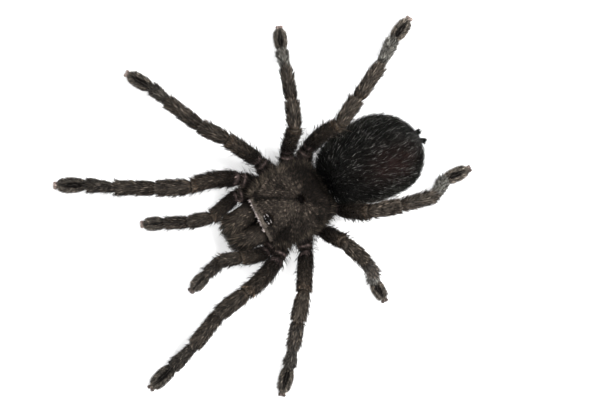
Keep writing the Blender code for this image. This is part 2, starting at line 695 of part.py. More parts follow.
def fang_solid(side):
    """A fang hinged under the end of its chelicera and folded back beneath it."""
    hinge_y = -(CARAPACE_FRONT + GAP + CHELICERA_LENGTH * FANG_HINGE)
    lower_x = side * (CHELICERA_HALF_WIDTH * 0.76) + CHELICERA_SHIFT
    hinge = body_point(lower_x, hinge_y, chelicera_underside(FANG_HINGE) - GAP - 0.1)
    inward = Vector((-side * 0.6, 0, 0))
    tip = hinge + inward * 2 + Vector((0, FANG_LENGTH, -0.6))
    bends = [hinge, hinge + Vector((0, -0.4, -2.3)), hinge + inward + Vector((0, 4.0, -2.6)), tip]
    path = curve(bends, FANG_STEPS)
    radii = [FANG_RADIUS * (1 - 0.86 * (i / FANG_STEPS) ** 1.4) for i in range(FANG_STEPS + 1)]
    return tube(f"fang_{'left' if side > 0 else 'right'}", "bare_cuticle", path, radii, Vector((1, 0, 0)))


def material(finish):
    """The node's material: a Principled BSDF in the finish's colour and roughness."""
    found = bpy.data.materials.get(finish)
    if found:
        return found
    made = bpy.data.materials.new(finish)
    made.use_nodes = True
    shader = made.node_tree.nodes["Principled BSDF"]
    colour, roughness = FINISHES[finish]
    shader.inputs["Base Color"].default_value = (*colour, 1.0)
    shader.inputs["Roughness"].default_value = roughness
    shader.inputs["Metallic"].default_value = 0.0
    return made


def add_object(solid, name=None):
    """Links the solid as a mesh object and returns it."""
    name = name or solid.name
    mesh = bpy.data.meshes.new(name)
    made = solid.bmesh()
    made.to_mesh(mesh)
    made.free()
    obj = bpy.data.objects.new(name, mesh)
    bpy.context.scene.collection.objects.link(obj)
    return obj


def keep_largest(mesh):
    """Keeps only the largest closed surface of a mesh, without the slivers that a union leaves."""
    made = bmesh.new()
    made.from_mesh(mesh)
    left = set(made.faces)
    groups = []
    while left:
        stack = [left.pop()]
        group = list(stack)
        while stack:
            for edge in stack.pop().edges:
                for face in edge.link_faces:
                    if face in left:
                        left.remove(face)
                        stack.append(face)
                        group.append(face)
        groups.append(group)
    groups.sort(key=lambda faces: -sum(f.calc_area() for f in faces))
    loose = [f for group in groups[1:] for f in group]
    if loose:
        bmesh.ops.delete(made, geom=loose, context="FACES")
        stray = [v for v in made.verts if not v.link_faces]
        bmesh.ops.delete(made, geom=stray, context="VERTS")
    bmesh.ops.remove_doubles(made, verts=made.verts, dist=WELD * MM)
    bmesh.ops.triangulate(made, faces=made.faces)
    bmesh.ops.dissolve_degenerate(made, edges=made.edges, dist=WELD * MM)
    made.to_mesh(mesh)
    made.free()


def apply_modifiers(obj):
    """Replaces the object's mesh with what its modifiers make."""
    graph = bpy.context.evaluated_depsgraph_get()
    made = bpy.data.meshes.new_from_object(obj.evaluated_get(graph))
    obj.modifiers.clear()
    old = obj.data
    obj.data = made
    bpy.data.meshes.remove(old)


def join(obj, pieces):
    """Fuses closed pieces into the object with one Boolean union."""
    if not pieces:
        return
    group = bpy.data.collections.new(obj.name + "_pieces")
    bpy.context.scene.collection.children.link(group)
    helpers = []
    for i, piece in enumerate(pieces):
        helper = add_object(piece, f"{obj.name}_piece_{i}")
        bpy.context.scene.collection.objects.unlink(helper)
        group.objects.link(helper)
        helpers.append(helper)
    union = obj.modifiers.new("union", "BOOLEAN")
    union.operation = "UNION"
    union.operand_type = "COLLECTION"
    union.collection = group
    union.solver = "EXACT"
    apply_modifiers(obj)
    for helper in helpers:
        bpy.data.objects.remove(helper)
    bpy.data.collections.remove(group)
    keep_largest(obj.data)


def ellipses(centres, wide, deep):
    """One ring of points round each centre, from two half axes."""
    turns = [2 * math.pi * k / MOUND_SIDES for k in range(MOUND_SIDES)]
    return [[centre + wide * math.cos(t) + deep * math.sin(t) for t in turns] for centre in centres]


def seat_eye_mound(carapace):
    """Cuts the round seat of the eye mound into the carapace."""
    low, high = body_point(*MOUND_CENTRE, MOUND_SEAT_Z), body_point(*MOUND_CENTRE, MOUND_SEAT_Z + 6)
    wide = Vector((MOUND_RADIUS + GAP, 0, 0))
    deep = Vector((0, MOUND_RADIUS * MOUND_SQUASH + GAP, 0))
    cutter = add_object(Solid("seat", "carapace_coat", *lofted(ellipses((low, high), wide, deep))))
    cut = carapace.modifiers.new("seat", "BOOLEAN")
    cut.operation = "DIFFERENCE"
    cut.object = cutter
    cut.solver = "EXACT"
    apply_modifiers(carapace)
    bpy.data.objects.remove(cutter)


def finish_object(obj, finish):
    """Gives the object its material and smooth shading with crisp edges."""
    obj.data.materials.clear()
    obj.data.materials.append(material(finish))
    obj.data.shade_smooth()
    obj.data.set_sharp_from_angle(angle=math.radians(50))


class Coat:
    """Roots locks on each node in turn, and leaves out those that come too near another node."""

    def __init__(self, objects):
        self.trees = {obj.name: self.tree_of(obj) for obj in objects}

    def tree_of(self, obj):
        points = [v.co / MM for v in obj.data.vertices]
        return BVHTree.FromPolygons(points, [tuple(p.vertices) for p in obj.data.polygons])

    def is_clear(self, piece, own_name):
        for name, tree in self.trees.items():
            if name == own_name:
                continue
            for spot in piece.probes():
                if tree.find_nearest(spot, LOCK_CLEARANCE)[0] is not None:
                    return False
        return True

    def add(self, obj, locks):
        """Fuses the clear locks into the object."""
        join(obj, [piece for piece in locks if self.is_clear(piece, obj.name)])
        self.trees[obj.name] = self.tree_of(obj)


def main():
    for obj in list(bpy.data.objects):
        bpy.data.objects.remove(obj)
    random.seed(SEED)
    finishes = {}
    locks = {}

    def node(solid, pieces=(), coat=()):
        obj = add_object(solid)
        join(obj, pieces)
        finishes[obj] = solid.finish
        locks[obj] = list(coat)
        return obj

    seat_eye_mound(node(carapace_solid(), coat=fringe_locks()))
    mound, eyes = eye_mound_solids()
    node(mound, eyes)
    node(underbody_core(), [coxa_solid(name) for name in POSE])
    body, stalk = abdomen_solids()
    node(body, [stalk], abdomen_locks())
    for side in (-1, 1):
        node(spinneret_solid(side))
        node(chelicera_solid(side), coat=jaw_locks(side))
        node(fang_solid(side))
    for name in POSE:
        for segment in limb_segments(name):
            node(segment.solid(), coat=segment.locks())
    coat = Coat(locks)
    for obj, pieces in locks.items():
        coat.add(obj, pieces)
        finish_object(obj, finishes[obj])


main()
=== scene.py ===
"""The looks of the Brazilian black tarantula: its skin, coat, eyes, fangs and claws, and the studio.

The head points to -Y, the animal's left is +X and the floor is z = 0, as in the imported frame. Shapes
are worked out in millimetres with numpy and turned into metres when a mesh is made. The skin is one
closed surface. The coat over it is made of closed, tapered hairs that follow its lie.
"""

import math

import bpy
import numpy as np
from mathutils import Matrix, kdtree

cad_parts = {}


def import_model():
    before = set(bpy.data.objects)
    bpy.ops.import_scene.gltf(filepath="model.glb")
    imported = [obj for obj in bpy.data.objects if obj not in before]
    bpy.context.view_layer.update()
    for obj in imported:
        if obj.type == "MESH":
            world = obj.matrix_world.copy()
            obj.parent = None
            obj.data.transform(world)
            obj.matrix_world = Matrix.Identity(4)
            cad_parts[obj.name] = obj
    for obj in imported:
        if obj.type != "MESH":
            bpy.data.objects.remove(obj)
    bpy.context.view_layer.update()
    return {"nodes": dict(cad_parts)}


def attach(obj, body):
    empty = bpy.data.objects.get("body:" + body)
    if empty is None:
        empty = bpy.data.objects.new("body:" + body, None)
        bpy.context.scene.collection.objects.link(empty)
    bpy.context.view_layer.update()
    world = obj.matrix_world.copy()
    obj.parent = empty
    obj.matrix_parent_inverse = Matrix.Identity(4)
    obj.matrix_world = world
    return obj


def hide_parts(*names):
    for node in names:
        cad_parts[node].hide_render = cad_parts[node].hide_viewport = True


# Sizes are in millimetres and angles in degrees. MM turns millimetres into metres.
MM = 0.001
SEED = 11

# Camera: straight above the animal, turned as in the photograph. Its place is from the carapace.
CAMERA_FROM_BODY = (2.614, 3.763)
CAMERA_HEIGHT = 680.0
CAMERA_TURN = 59.3
CAMERA_LENS = 120.0
CAMERA_SENSOR = 36.0

# Studio, in metres and watts: the floor's width, greys and own light, the strength of the sky, and
# the place, size and power of each light.
FLOOR_SIZE = 3.0
FLOOR_GREYS = ((0.60, 0.60, 0.60), (0.64, 0.64, 0.64))
FLOOR_GLOW = 0.62
SKY_STRENGTH = 0.5
SOFTBOXES = (((0.08, 0.53, 0.85), 0.45, 17.0), ((0.5, -0.2, 0.8), 0.6, 5.0))
WHITE = (1.0, 1.0, 1.0, 1.0)

# Centre of the carapace on the floor plan.
BODY_X = 5.95
BODY_Y = 3.48

# Carapace: a rounded shield, cut straight across at the front, with a raised head and a pit.
CARAPACE_HALF_WIDTH = 11.6
CARAPACE_FRONT = 12.0
FRONT_TILT = 0.09
CARAPACE_REAR = 12.1
CARAPACE_FRONT_TAPER = 16.0
CARAPACE_BASE_Z = 10.8
CARAPACE_EDGE = 0.9
CARAPACE_SKIN_DEPTH = 0.12
CARAPACE_DOME = 3.7
FRONT_STRIP = 1.7
STRIP_SPAN = (-8.2, 7.6)
HEAD_RISE = 1.5
HEAD_HALF_WIDTH = 6.6
HEAD_GROOVE = 1.12
FOVEA = (0.4, 3.2)
FOVEA_DEPTH = 1.5
FOVEA_SIZE = (1.55, 1.15)

# Marks on the carapace: the dark line forward from the fovea (its direction and length), the grooves
# (angle and depth), and dark spots (centre, half sizes, strength).
RIGHT_LINE = (-0.53, -0.848)
RIGHT_LINE_LENGTH = 13.6
GROOVES = ((62, 0.9), (98, 0.8), (134, 0.85))
DARK_SPOTS = (((7.2, -7.4), (3.9, 3.0), 0.7), ((-7.4, -8.6), (2.2, 1.3), 0.8))

# Eye mound and eyes. Each eye of one side: distance from the middle, along the body, half sizes.
MOUND_CENTRE = (0.5, -9.3)
MOUND_RADIUS = (1.9, 1.5)
MOUND_BASE_Z = 15.2
MOUND_HEIGHT = 1.9
MOUND_ROUNDNESS = 2.6
EYES = (
    (0.55, -0.78, 0.40, 0.40), (1.32, -0.62, 0.40, 0.30), (1.32, 0.30, 0.36, 0.26),
    (0.80, 0.42, 0.27, 0.20),
)

# Underbody: height and how far in from the carapace's edge, from the top down to the breastplate.
UNDERBODY_LEVELS = ((12.2, 2.6), (10.4, 1.5), (7.4, 1.8), (6.0, 4.0), (5.2, 5.6), (4.95, 7.2))
COXA_INNER_REACH = 0.3
COXA_INNER_Z = 7.4

# Abdomen: an egg, widest behind its middle, swung a little to the animal's left, on a thin stalk.
ABDOMEN_FRONT_Y = 13.0
ABDOMEN_WIDEST_Y = 32.9
ABDOMEN_REAR_Y = 45.5
ABDOMEN_HALF_WIDTH = 12.75
ABDOMEN_HALF_HEIGHT = 9.9
ABDOMEN_CENTRE_Z = 12.6
ABDOMEN_SWING = 4.0
PEDICEL_Z = 8.6
PEDICEL_SLOPE = 0.12
PEDICEL_PROFILE = ((9.0, 1.3), (12.4, 1.3), (14.4, 1.6), (18.0, 2.1))

# Spinnerets, chelicerae and fangs.
SPINNERET_ROOT = 0.86
SPINNERET_SPREAD = 9.5
SPINNERET_TAPER = (1.0, 1.0, 0.86, 1.0, 0.98, 0.78, 0.86, 0.8, 0.5)
SPINNERET_RADIUS = 0.93
CHELICERA_LENGTH = 10.8
CHELICERA_START = CARAPACE_FRONT + 0.3
CHELICERA_SHIFT = -0.7
CHELICERA_GAP = 0.14
CHELICERA_HALF_WIDTH = 3.55
CHELICERA_HALF_HEIGHT = 4.1
CHELICERA_Z = 11.1
CHELICERA_DROP = 3.4
CHELICERA_PROFILE = (
    (-0.12, 0.78, 0.72), (0.0, 0.93, 0.88), (0.15, 1.0, 1.0), (0.45, 0.97, 1.0), (0.72, 0.87, 0.95),
    (0.89, 0.74, 0.8), (0.96, 0.58, 0.62), (1.0, 0.42, 0.42),
)
FANG_HINGE = 0.88
FANG_LENGTH = 8.0
FANG_RADIUS = 0.95
CLAW_RADIUS = 0.11

# Limbs. Segment lengths run from the hip outwards.
LEG_SEGMENTS = ("femur", "patella", "tibia", "metatarsus", "tarsus")
PALP_SEGMENTS = ("femur", "patella", "tibia", "tarsus")
SEGMENT_LENGTHS = {
    "leg_1": (18.4, 11.7, 14.8, 12.7, 10.4),
    "leg_2": (16.9, 10.3, 14.5, 12.1, 9.8),
    "leg_3": (15.1, 9.8, 11.7, 12.8, 7.8),
    "leg_4": (18.8, 10.0, 14.3, 16.6, 9.2),
    "palp": (11.7, 8.6, 9.6, 8.1),
}
LIMB_GIRTH = {"leg_1": 1.0, "leg_2": 0.93, "leg_3": 0.87, "leg_4": 0.92, "palp": 0.93}
FOOT_Z = {"leg": (2.45, 1.15), "palp": (3.2, 0.95)}

# Hip (x, y from the carapace centre, z), heading of each segment on the floor plan, and the pitch
# of the first ones. The last two segments take the pitches that reach the floor.
POSE = {
    "leg_right_1": ((-15.6, -10.7, 8.0), (-111, -118, -122, -126, -120), (30, -12, -19)),
    "leg_right_2": ((-17.2, -2.3, 8.0), (-155, -147, -158, -160, -151), (43, -18, -19)),
    "leg_right_3": ((-15.2, 6.9, 8.0), (129, 156, 159, 163, 155), (58, -21, -22)),
    "leg_right_4": ((-12.8, 13.1, 8.0), (95, 115, 115, 122, 113), (45, -8, -19)),
    "leg_left_1": ((13.2, -13.0, 8.2), (-74, -82, -69, -75, -77), (34, -17, -22)),
    "leg_left_2": ((15.8, -4.0, 8.0), (-34, -42, -41, -42, -45), (38, 27, -50)),
    "leg_left_3": ((13.2, 3.9, 8.0), (34, 17, 5, -26, -1), (60, 24, -63)),
    "leg_left_4": ((8.9, 11.7, 8.0), (54, 70, 74, 112, 84), (55, 12, -34.5)),
    "palp_right": ((-11.5, -14.3, 7.3), (-79, -108, -118, -118), (22, -26)),
    "palp_left": ((9.5, -15.0, 7.3), (-108, -111, -78, -74), (42, -37)),
}
FEMUR_BOW = {
    "leg_right_1": -1.1,
    "leg_right_4": 0.7,
    "leg_left_1": 0.8,
    "leg_left_4": -0.6,
    "palp_left": 0.7,
}

# How pale the far ends of each kind of limb are: the hind legs have frosted metatarsi.
LIMB_PALENESS = {"leg_1": 0.12, "leg_2": 0.3, "leg_3": 1.0, "leg_4": 1.0, "palp": 0.2}
TUFT_PALENESS = {"right": 0.9, "left": 0.35}

# Half width and half height of each segment, and how they vary along it.
SEGMENT_GIRTH = {
    "coxa": (2.45, 2.45),
    "femur": (2.65, 2.95),
    "patella": (2.35, 2.55),
    "tibia": (2.15, 2.25),
    "metatarsus": (2.1, 1.85),
    "tarsus": (2.2, 1.75),
}
PROFILES = {
    "coxa": (
        (0.0, 1.0, 1.0), (0.52, 1.04, 1.04), (0.66, 0.98, 0.98), (0.71, 0.84, 0.84), (0.78, 0.94, 0.94),
        (0.88, 1.0, 1.0), (0.95, 0.94, 0.94), (1.0, 0.8, 0.86),
    ),
    "femur": (
        (0.0, 0.7, 0.7), (0.05, 0.9, 0.88), (0.2, 0.97, 0.96), (0.5, 1.0, 1.0), (0.78, 0.98, 0.97),
        (0.95, 0.93, 0.92), (0.975, 0.86, 0.86), (1.0, 0.66, 0.68),
    ),
    "patella": (
        (0.0, 0.7, 0.7), (0.05, 0.92, 0.9), (0.5, 1.0, 1.0), (0.93, 0.98, 0.96), (0.965, 0.92, 0.9),
        (1.0, 0.68, 0.7),
    ),
    "tibia": (
        (0.0, 0.7, 0.72), (0.05, 0.94, 0.94), (0.45, 1.0, 1.0), (0.8, 1.0, 0.98), (0.95, 0.95, 0.94),
        (0.97, 0.86, 0.86), (1.0, 0.62, 0.66),
    ),
    "metatarsus": (
        (0.0, 0.56, 0.72), (0.06, 0.64, 0.88), (0.2, 0.72, 0.92), (0.45, 0.84, 0.94),
        (0.72, 1.02, 0.98), (0.9, 0.98, 0.94), (0.96, 0.86, 0.88), (1.0, 0.6, 0.74),
    ),
    "tarsus": (
        (0.0, 0.5, 0.7), (0.05, 0.66, 0.88), (0.16, 0.88, 0.98), (0.32, 1.0, 1.02), (0.52, 1.04, 1.02),
        (0.7, 0.97, 0.98), (0.84, 0.76, 0.84), (0.92, 0.5, 0.62), (1.0, 0.36, 0.44),
    ),
}
SKIN_DEPTH = 0.08
SKIN_LOWEST = 0.12
LIMB_SIDES = 36
RINGS_PER_MM = 2.4
# How far the dark ring at a joint runs into the segment beyond it.
NEAR_NOTCH = 1.05
# What differs between legs and palps: where the coat is deep, the skin's share of the girth, then
# the length of the hair, the tone of the femur and half the angle of the dark slot on the foot.
SKIN_SHARE = {"leg": {"femur": 0.89}, "palp": {"femur": 0.85, "patella": 0.92, "tibia": 0.93}}
COAT_SHARE = {"leg": 1.0, "palp": 0.84}
FEMUR_TONE = {"leg": 1.0, "palp": 0.72}
SLOT_HALF_ANGLE = {"leg": 27.0, "palp": 11.0}
# Width of the slot along the foot, as a share of its widest part.
SLOT_PROFILE = ((0.05, 0.12, 0.3, 0.55, 0.86), (0.4, 0.95, 1.05, 0.85, 0.15))

# Coat of the limbs: hairs per square millimetre, length, width at the root, lift and bend back.
COAT = {
    "coxa": (6.4, 2.2, 0.23, 36, 14),
    "femur": (6.9, 1.95, 0.24, 23, 12),
    "patella": (6.4, 2.0, 0.25, 22, 14),
    "tibia": (6.9, 1.9, 0.235, 20, 13),
    "metatarsus": (8.2, 1.5, 0.22, 24, 14),
    "tarsus": (17.0, 1.0, 0.135, 22, 12),
}
# Share of raised bristles, and how much longer and how far raised they are, near and far out.
BRISTLE_SHARE = 0.13
FOOT_BRISTLE_SHARE = 0.02
BRISTLE_NEAR = (1.6, 30.0)
BRISTLE_FAR = (1.45, 24.0)
JOINT_HAIR_DENSITY = 8.0
JOINT_HAIR_REACH = 1.8

# Other hairs: how many, and their length, width at the root, lift and bend back.
COUNTS = {
    "spine": 14,
    "slot": 80,
    "tuft": 230,
    "abdomen": 18500,
    "pale": 9800,
    "spinneret": 260,
    "carapace": 15500,
    "fringe": 2600,
    "bead": 54,
    "jaw": 3400,
    "underbody": 3000,
}
JOINT_HAIR = (0.85, 0.17, 18, 8)
SPINE = (2.9, 0.24, 34, 10)
SLOT_HAIR = (1.6, 0.13, 6, 6)
TUFT_HAIR = (0.85, 0.2, 12, 8)
ABDOMEN_HAIR = (2.9, 0.2, 24, 15)
PALE_HAIR = (2.3, 0.064, 30, 8)
SPINNERET_HAIR = (1.4, 0.16, 24, 8)
CARAPACE_HAIR = (1.15, 0.19, 26, 12)
UNDERBODY_HAIR = (1.4, 0.12, 22, 12)
BEAD_SPAN = (-8.0, 3.4)

# How hairs are made: how lengths and widths vary, how far lift and bend vary, how hairs lean
# together in clumps, depth of the root, lowest point, width halfway, and the range of tones.
LENGTH_RANGE = (0.72, 1.25)
WIDTH_RANGE = (0.8, 1.2)
LIFT_SPREAD = 6
DROOP_SPREAD = 5
CLUMP_SIZE = 2.3
CLUMP_LEAN = 0.16
ROOT_DEPTH = 0.12
HAIR_LOWEST = 0.03
MIDDLE_WIDTH = 0.72
TONE_RANGE = (0.15, 3.0)
# The seven points of a hair: their tones, the faces between them, and their places in its patch
# of the map.
HAIR_TONES = (0.45, 0.45, 0.45, 1.0, 1.0, 1.0, 1.5)
HAIR_FACES = (
    (0, 1, 2), (0, 3, 4), (0, 4, 1), (1, 4, 5), (1, 5, 2), (2, 5, 3), (2, 3, 0), (3, 6, 4), (4, 6, 5),
    (5, 6, 3),
)
PATCH_PLACES = ((0, 0), (1, 0), (0.5, 0.3), (0, 0.6), (1, 0.6), (0.5, 0.7), (0.5, 1))
PATCH = 0.003
PLAN_MAP = (26, 28)
STREAK = 0.72

# Colours (linear RGB).
LEG_BASE = (0.0060, 0.0047, 0.0039)
LEG_MID = (0.044, 0.0355, 0.0282)
LEG_FAR = (0.051, 0.0425, 0.0345)
JOINT_RING = (0.135, 0.100, 0.094)
JOINT_TAN = (0.066, 0.048, 0.034)
JOINT_PALE = (0.12, 0.10, 0.08)
FROST = (0.112, 0.106, 0.092)
PAD = (0.046, 0.0405, 0.0345)
SLOT = (0.0034, 0.0028, 0.0024)
# Near-black painted into the fovea: painted shade in the pit.
PIT = (0.0018, 0.0014, 0.0013)
TUFT = (0.44, 0.35, 0.31)
CARAPACE_BROWN = (0.060, 0.0485, 0.0390)
# Dark brown of the carapace's dark marks and rim, and of the painted shade on the carapace and chelicerae.
CARAPACE_SHADE = (0.0080, 0.0060, 0.0046)
FRONT_TAN = (0.112, 0.094, 0.078)
BEAD = (0.50, 0.43, 0.41)
FRINGE_GOLD = (0.080, 0.0645, 0.0490)
ABDOMEN_BLACK = (0.0029, 0.0030, 0.0027)
ABDOMEN_RED = (0.0190, 0.0098, 0.0086)
# Painted sheen: the grey of raised hairs along the abdomen's sides, where the outline looks lit.
ABDOMEN_RIM_SHEEN = (0.018, 0.019, 0.0158)
PALE = (0.64, 0.625, 0.585)
UNDERSIDE = (0.022, 0.018, 0.015)

# Light hairs among the others on a segment: their share and their colour.
LIGHT_HAIRS = {
    "patella": (0.12, (0.110, 0.088, 0.070)),
    "tibia": (0.16, (0.125, 0.102, 0.082)),
    "metatarsus": (0.3, (0.230, 0.225, 0.200)),
    "tarsus": (0.16, (0.200, 0.165, 0.130)),
}

# Bare shell: colour, roughness, specular level and weight of the clear coat.
CUTICLE = ((0.003, 0.0025, 0.0022), 0.6, 0.03, 0.0)
DARK_EYE = ((0.003, 0.0025, 0.003), 0.1, 0.1, 0.9)
PALE_EYE = ((0.14, 0.127, 0.123), 0.2, 0.2, 0.9)
FANG_SHELL = ((0.016, 0.007, 0.005), 0.2, 0.4, 0.6)


def unit(vectors):
    """The vectors at length 1."""
    return vectors / np.maximum(np.linalg.norm(vectors, axis=-1, keepdims=True), 1e-9)


def clamp(value):
    """The value kept from 0 to 1."""
    return np.clip(value, 0, 1)


def ramp(value, start, width):
    """Goes from 0 at the start to 1 a width further on. A negative width runs the other way."""
    return np.clip((value - start) / width, 0, 1)


def bump(value, centre, width):
    """A smooth rise to 1 round the centre."""
    return np.exp(-(((value - centre) / width) ** 2))


def spot(x, y, centre, size):
    """A smooth rise to 1 round a centre on the plan."""
    return np.exp(-(((x - centre[0]) / size[0]) ** 2) - ((y - centre[1]) / size[1]) ** 2)


def mix(low, high, share):
    """Colours between two, at an array of shares."""
    share = clamp(np.asarray(share, float))[..., None]
    return np.asarray(low) * (1 - share) + np.asarray(high) * share


def tones(colour, factors):
    """One colour at an array of strengths."""
    return np.asarray(colour) * np.asarray(factors)[..., None]


def waves(points, size, seed):
    """A smooth random field from about -1 to 1 over points, with features of about this size."""
    rng = np.random.default_rng(seed)
    total = np.zeros(points.shape[:-1])
    for _ in range(6):
        way = unit(rng.normal(size=3)) / (size * rng.uniform(0.6, 1.4))
        total += np.sin(points @ way * 2 * math.pi + rng.uniform(0, 2 * math.pi))
    return total / 3.2


def direction(heading, pitch):
    """Unit vector at this heading on the floor plan, raised by the pitch."""
    turn, rise = math.radians(heading), math.radians(pitch)
    return np.array((math.cos(turn) * math.cos(rise), math.sin(turn) * math.cos(rise), math.sin(rise)))


def full_turn(sides):
    """Evenly spaced angles round a full turn."""
    return 2 * math.pi * np.arange(sides) / sides


def off_top(angle):
    """How many degrees an angle round a limb lies from its top."""
    return np.degrees(np.abs(np.angle(np.exp(1j * (angle - math.pi / 2)))))


def body_point(x, y, z):
    """Points given from the centre of the carapace, in the row's frame."""
    x, y, z = np.broadcast_arrays(x, y, z)
    return np.stack((BODY_X + x, BODY_Y + y, z), axis=-1).astype(float)


def turn_places(share, angle):
    """Places on the map of a coat that runs along a form and round it."""
    return np.stack((share, angle / (2 * math.pi) + 0.5), axis=-1)


def plan_places(x, y):
    """Places on the map of a coat that is laid out from above."""
    return np.stack((x / PLAN_MAP[0] + 0.5, y / PLAN_MAP[1] + 0.5), axis=-1)


def smoothed(profile):
    """The profile's widths and heights as finely spaced rows, with its corners rounded."""
    shares = np.linspace(profile[0][0], profile[-1][0], 201)
    table = np.array(profile)
    columns = [np.interp(shares, table[:, 0], table[:, i]) for i in (1, 2)]
    kernel = np.ones(7) / 7
    rounded = [np.convolve(np.pad(c, 3, mode="edge"), kernel, mode="valid") for c in columns]
    return shares, rounded[0], rounded[1]


def surface_frame(point, share, angle):
    """Normals of a swept surface and unit vectors along it, from its points by share and angle."""
    along = point(share + 0.01, angle) - point(share - 0.01, angle)
    around = point(share, angle + 0.02) - point(share, angle - 0.02)
    return unit(np.cross(along, around)), unit(along)


class Segment:
    """One limb segment, swept between the two planes that it shares with its neighbours."""

    def __init__(self, kind, limb, ends, heading, planes, girth, bow=0.0):
        family = "palp" if limb.kind == "palp" else "leg"
        self.kind = kind
        self.paleness = LIMB_PALENESS[limb.kind]
        self.tuft_paleness = TUFT_PALENESS["right" if "right" in limb.name else "left"]
        self.slot_half = SLOT_HALF_ANGLE[family]
        self.coat_share = COAT_SHARE[family]
        self.femur_tone = FEMUR_TONE[family]
        self.start, self.end = ends
        self.planes = planes
        self.axis = unit(self.end - self.start)
        self.length = float(np.linalg.norm(self.end - self.start))
        turn = math.radians(heading)
        self.side = np.array((-math.sin(turn), math.cos(turn), 0.0))
        self.dorsal = np.cross(self.axis, self.side)
        share = SKIN_SHARE[family].get(kind, 1.0)
        self.half = [size * girth * share - SKIN_DEPTH for size in SEGMENT_GIRTH[kind]]
        self.profile = smoothed(PROFILES[kind])
        self.bow = bow

    def section(self, share):
        """Half width and half height at this share of the length."""
        shares, widths, heights = self.profile
        wide = np.interp(share, shares, widths) * self.half[0]
        return wide, np.interp(share, shares, heights) * self.half[1]

    def relief(self, share, angle):
        """Share of the section's size left at this angle: a tarsus has a groove along its top."""
        if self.kind != "tarsus":
            return 1.0
        off = off_top(angle)
        along = ramp(share, 0.06, 0.1) * ramp(share, 0.96, -0.1)
        depth = 0.2 * bump(off, 11.0, 9.0) + 0.1 * bump(off, 0.0, 5.0) - 0.06 * bump(off, 42, 18)
        return 1 - along * depth

    def point(self, share, angle):
        """Skin points at these shares of the length and angles round the axis."""
        share, angle = np.broadcast_arrays(np.asarray(share, float), np.asarray(angle, float))
        wide, tall = self.section(share)
        relief = self.relief(share, angle)
        across = (np.cos(angle) * wide * relief)[..., None] * self.side
        across = across + (np.sin(angle) * tall * relief)[..., None] * self.dorsal
        near = -(across @ self.planes[0]) / (self.axis @ self.planes[0])
        far = self.length - (across @ self.planes[1]) / (self.axis @ self.planes[1])
        along = near + (far - near) * share
        bowed = (4 * self.bow * share * (1 - share))[..., None] * self.side
        spots = self.start + across + along[..., None] * self.axis + bowed
        spots[..., 2] = np.maximum(spots[..., 2], SKIN_LOWEST)
        return spots

    def normal(self, angle):
        """Outward unit vectors at these angles round the axis."""
        across = (np.cos(angle) / self.half[0])[..., None] * self.side
        return unit(across + (np.sin(angle) / self.half[1])[..., None] * self.dorsal)

    def coxa_markings(self, share, angle, points):
        """Dark, with two bare rings over its top."""
        ring = clamp((bump(share, 0.9, 0.03) + 0.5 * bump(share, 0.64, 0.025)) * clamp(np.sin(angle)))
        return mix(mix(LEG_BASE, LEG_MID, 0.15 * share), JOINT_RING, ring), 0.5 * ring

    def femur_markings(self, share, angle, points):
        """Dark at the hip and lighter outwards, with a bare ring and a tan end."""
        ring = 0.8 * bump(share, 0.07, 0.03) * clamp(np.sin(angle))
        colour = mix(LEG_BASE, LEG_MID, (share - 0.12) / 0.85) * self.femur_tone
        tan = 0.75 * self.femur_tone * bump(share, 0.9, 0.05)
        return mix(mix(colour, JOINT_RING, ring), JOINT_TAN, tan), 0.9 * ring

    def shin_markings(self, share, angle, points):
        """Patella and tibia: two dark bare stripes along the top, and tan at both ends."""
        stripe = bump(off_top(angle), 24.0, 7.0) * ramp(share, 0.1, 0.1) * ramp(share, 0.86, -0.1)
        lighter = 1.0 + 0.5 * (share - 0.5) * (self.kind == "tibia")
        colour = tones(LEG_FAR, lighter * (1 - 0.42 * stripe))
        tan = 0.55 * bump(share, 0.07, 0.03) + 0.5 * bump(share, 0.94, 0.022)
        return mix(colour, JOINT_TAN, tan), 0.8 * stripe

    def metatarsus_markings(self, share, angle, points):
        """Frosted with pale hair on the hind legs."""
        frost = ramp(share, -0.02, 0.1) * (0.8 + 0.28 * waves(points, 1.6, 3))
        colour = tones(mix(LEG_FAR, FROST, frost * self.paleness), 1.25 - 0.2 * share)
        return colour * (0.74 + 0.26 * self.paleness), np.zeros(share.shape)

    def tarsus_markings(self, share, angle, points):
        """A light pad on each side of a dark bare slot, and a pale tip."""
        colour = mix(PAD, tones(PAD, 1.7), share) * (0.82 + 0.25 * self.paleness)
        half = self.slot_half * np.interp(share, *SLOT_PROFILE) * (1 + 0.25 * waves(points, 0.9, 29))
        slot = ramp(off_top(angle), half + 5, -5) * ramp(share, 0.04, 0.05) * ramp(share, 0.88, -0.1)
        tip = tones(TUFT, self.tuft_paleness)
        return mix(mix(colour, SLOT, slot), tip, ramp(share, 0.9, 0.08)), slot

    markings_of = {
        "coxa": coxa_markings,
        "femur": femur_markings,
        "patella": shin_markings,
        "tibia": shin_markings,
        "metatarsus": metatarsus_markings,
        "tarsus": tarsus_markings,
    }

    def markings(self, share, angle, points):
        """Colour at these places, and how bare the skin is there, darker at joints, with painted shade on
        the underside.
        """
        colour, bare = self.markings_of[self.kind](self, share, angle, points)
        from_end = (1 - share) * self.length
        near_notch = NEAR_NOTCH * (0.6 if self.kind == "patella" else 1.0)
        notch = bump(share * self.length, 0.0, near_notch) + bump(from_end, 0.0, 0.25)
        notch = 0.85 * clamp(notch) * (self.kind != "coxa")
        if self.kind in ("femur", "patella", "tibia"):
            line = bump(from_end, 0.45, 0.22)
            colour = mix(colour, JOINT_PALE, line * (0.35 + 0.35 * waves(points, 1.1, 9)))
        # Painted shade: the underside of every segment but the tarsus is darkened.
        under = 0.45 * clamp(-np.sin(angle)) * (self.kind != "tarsus")
        return colour * ((1 - notch) * (1 - under))[..., None], bare

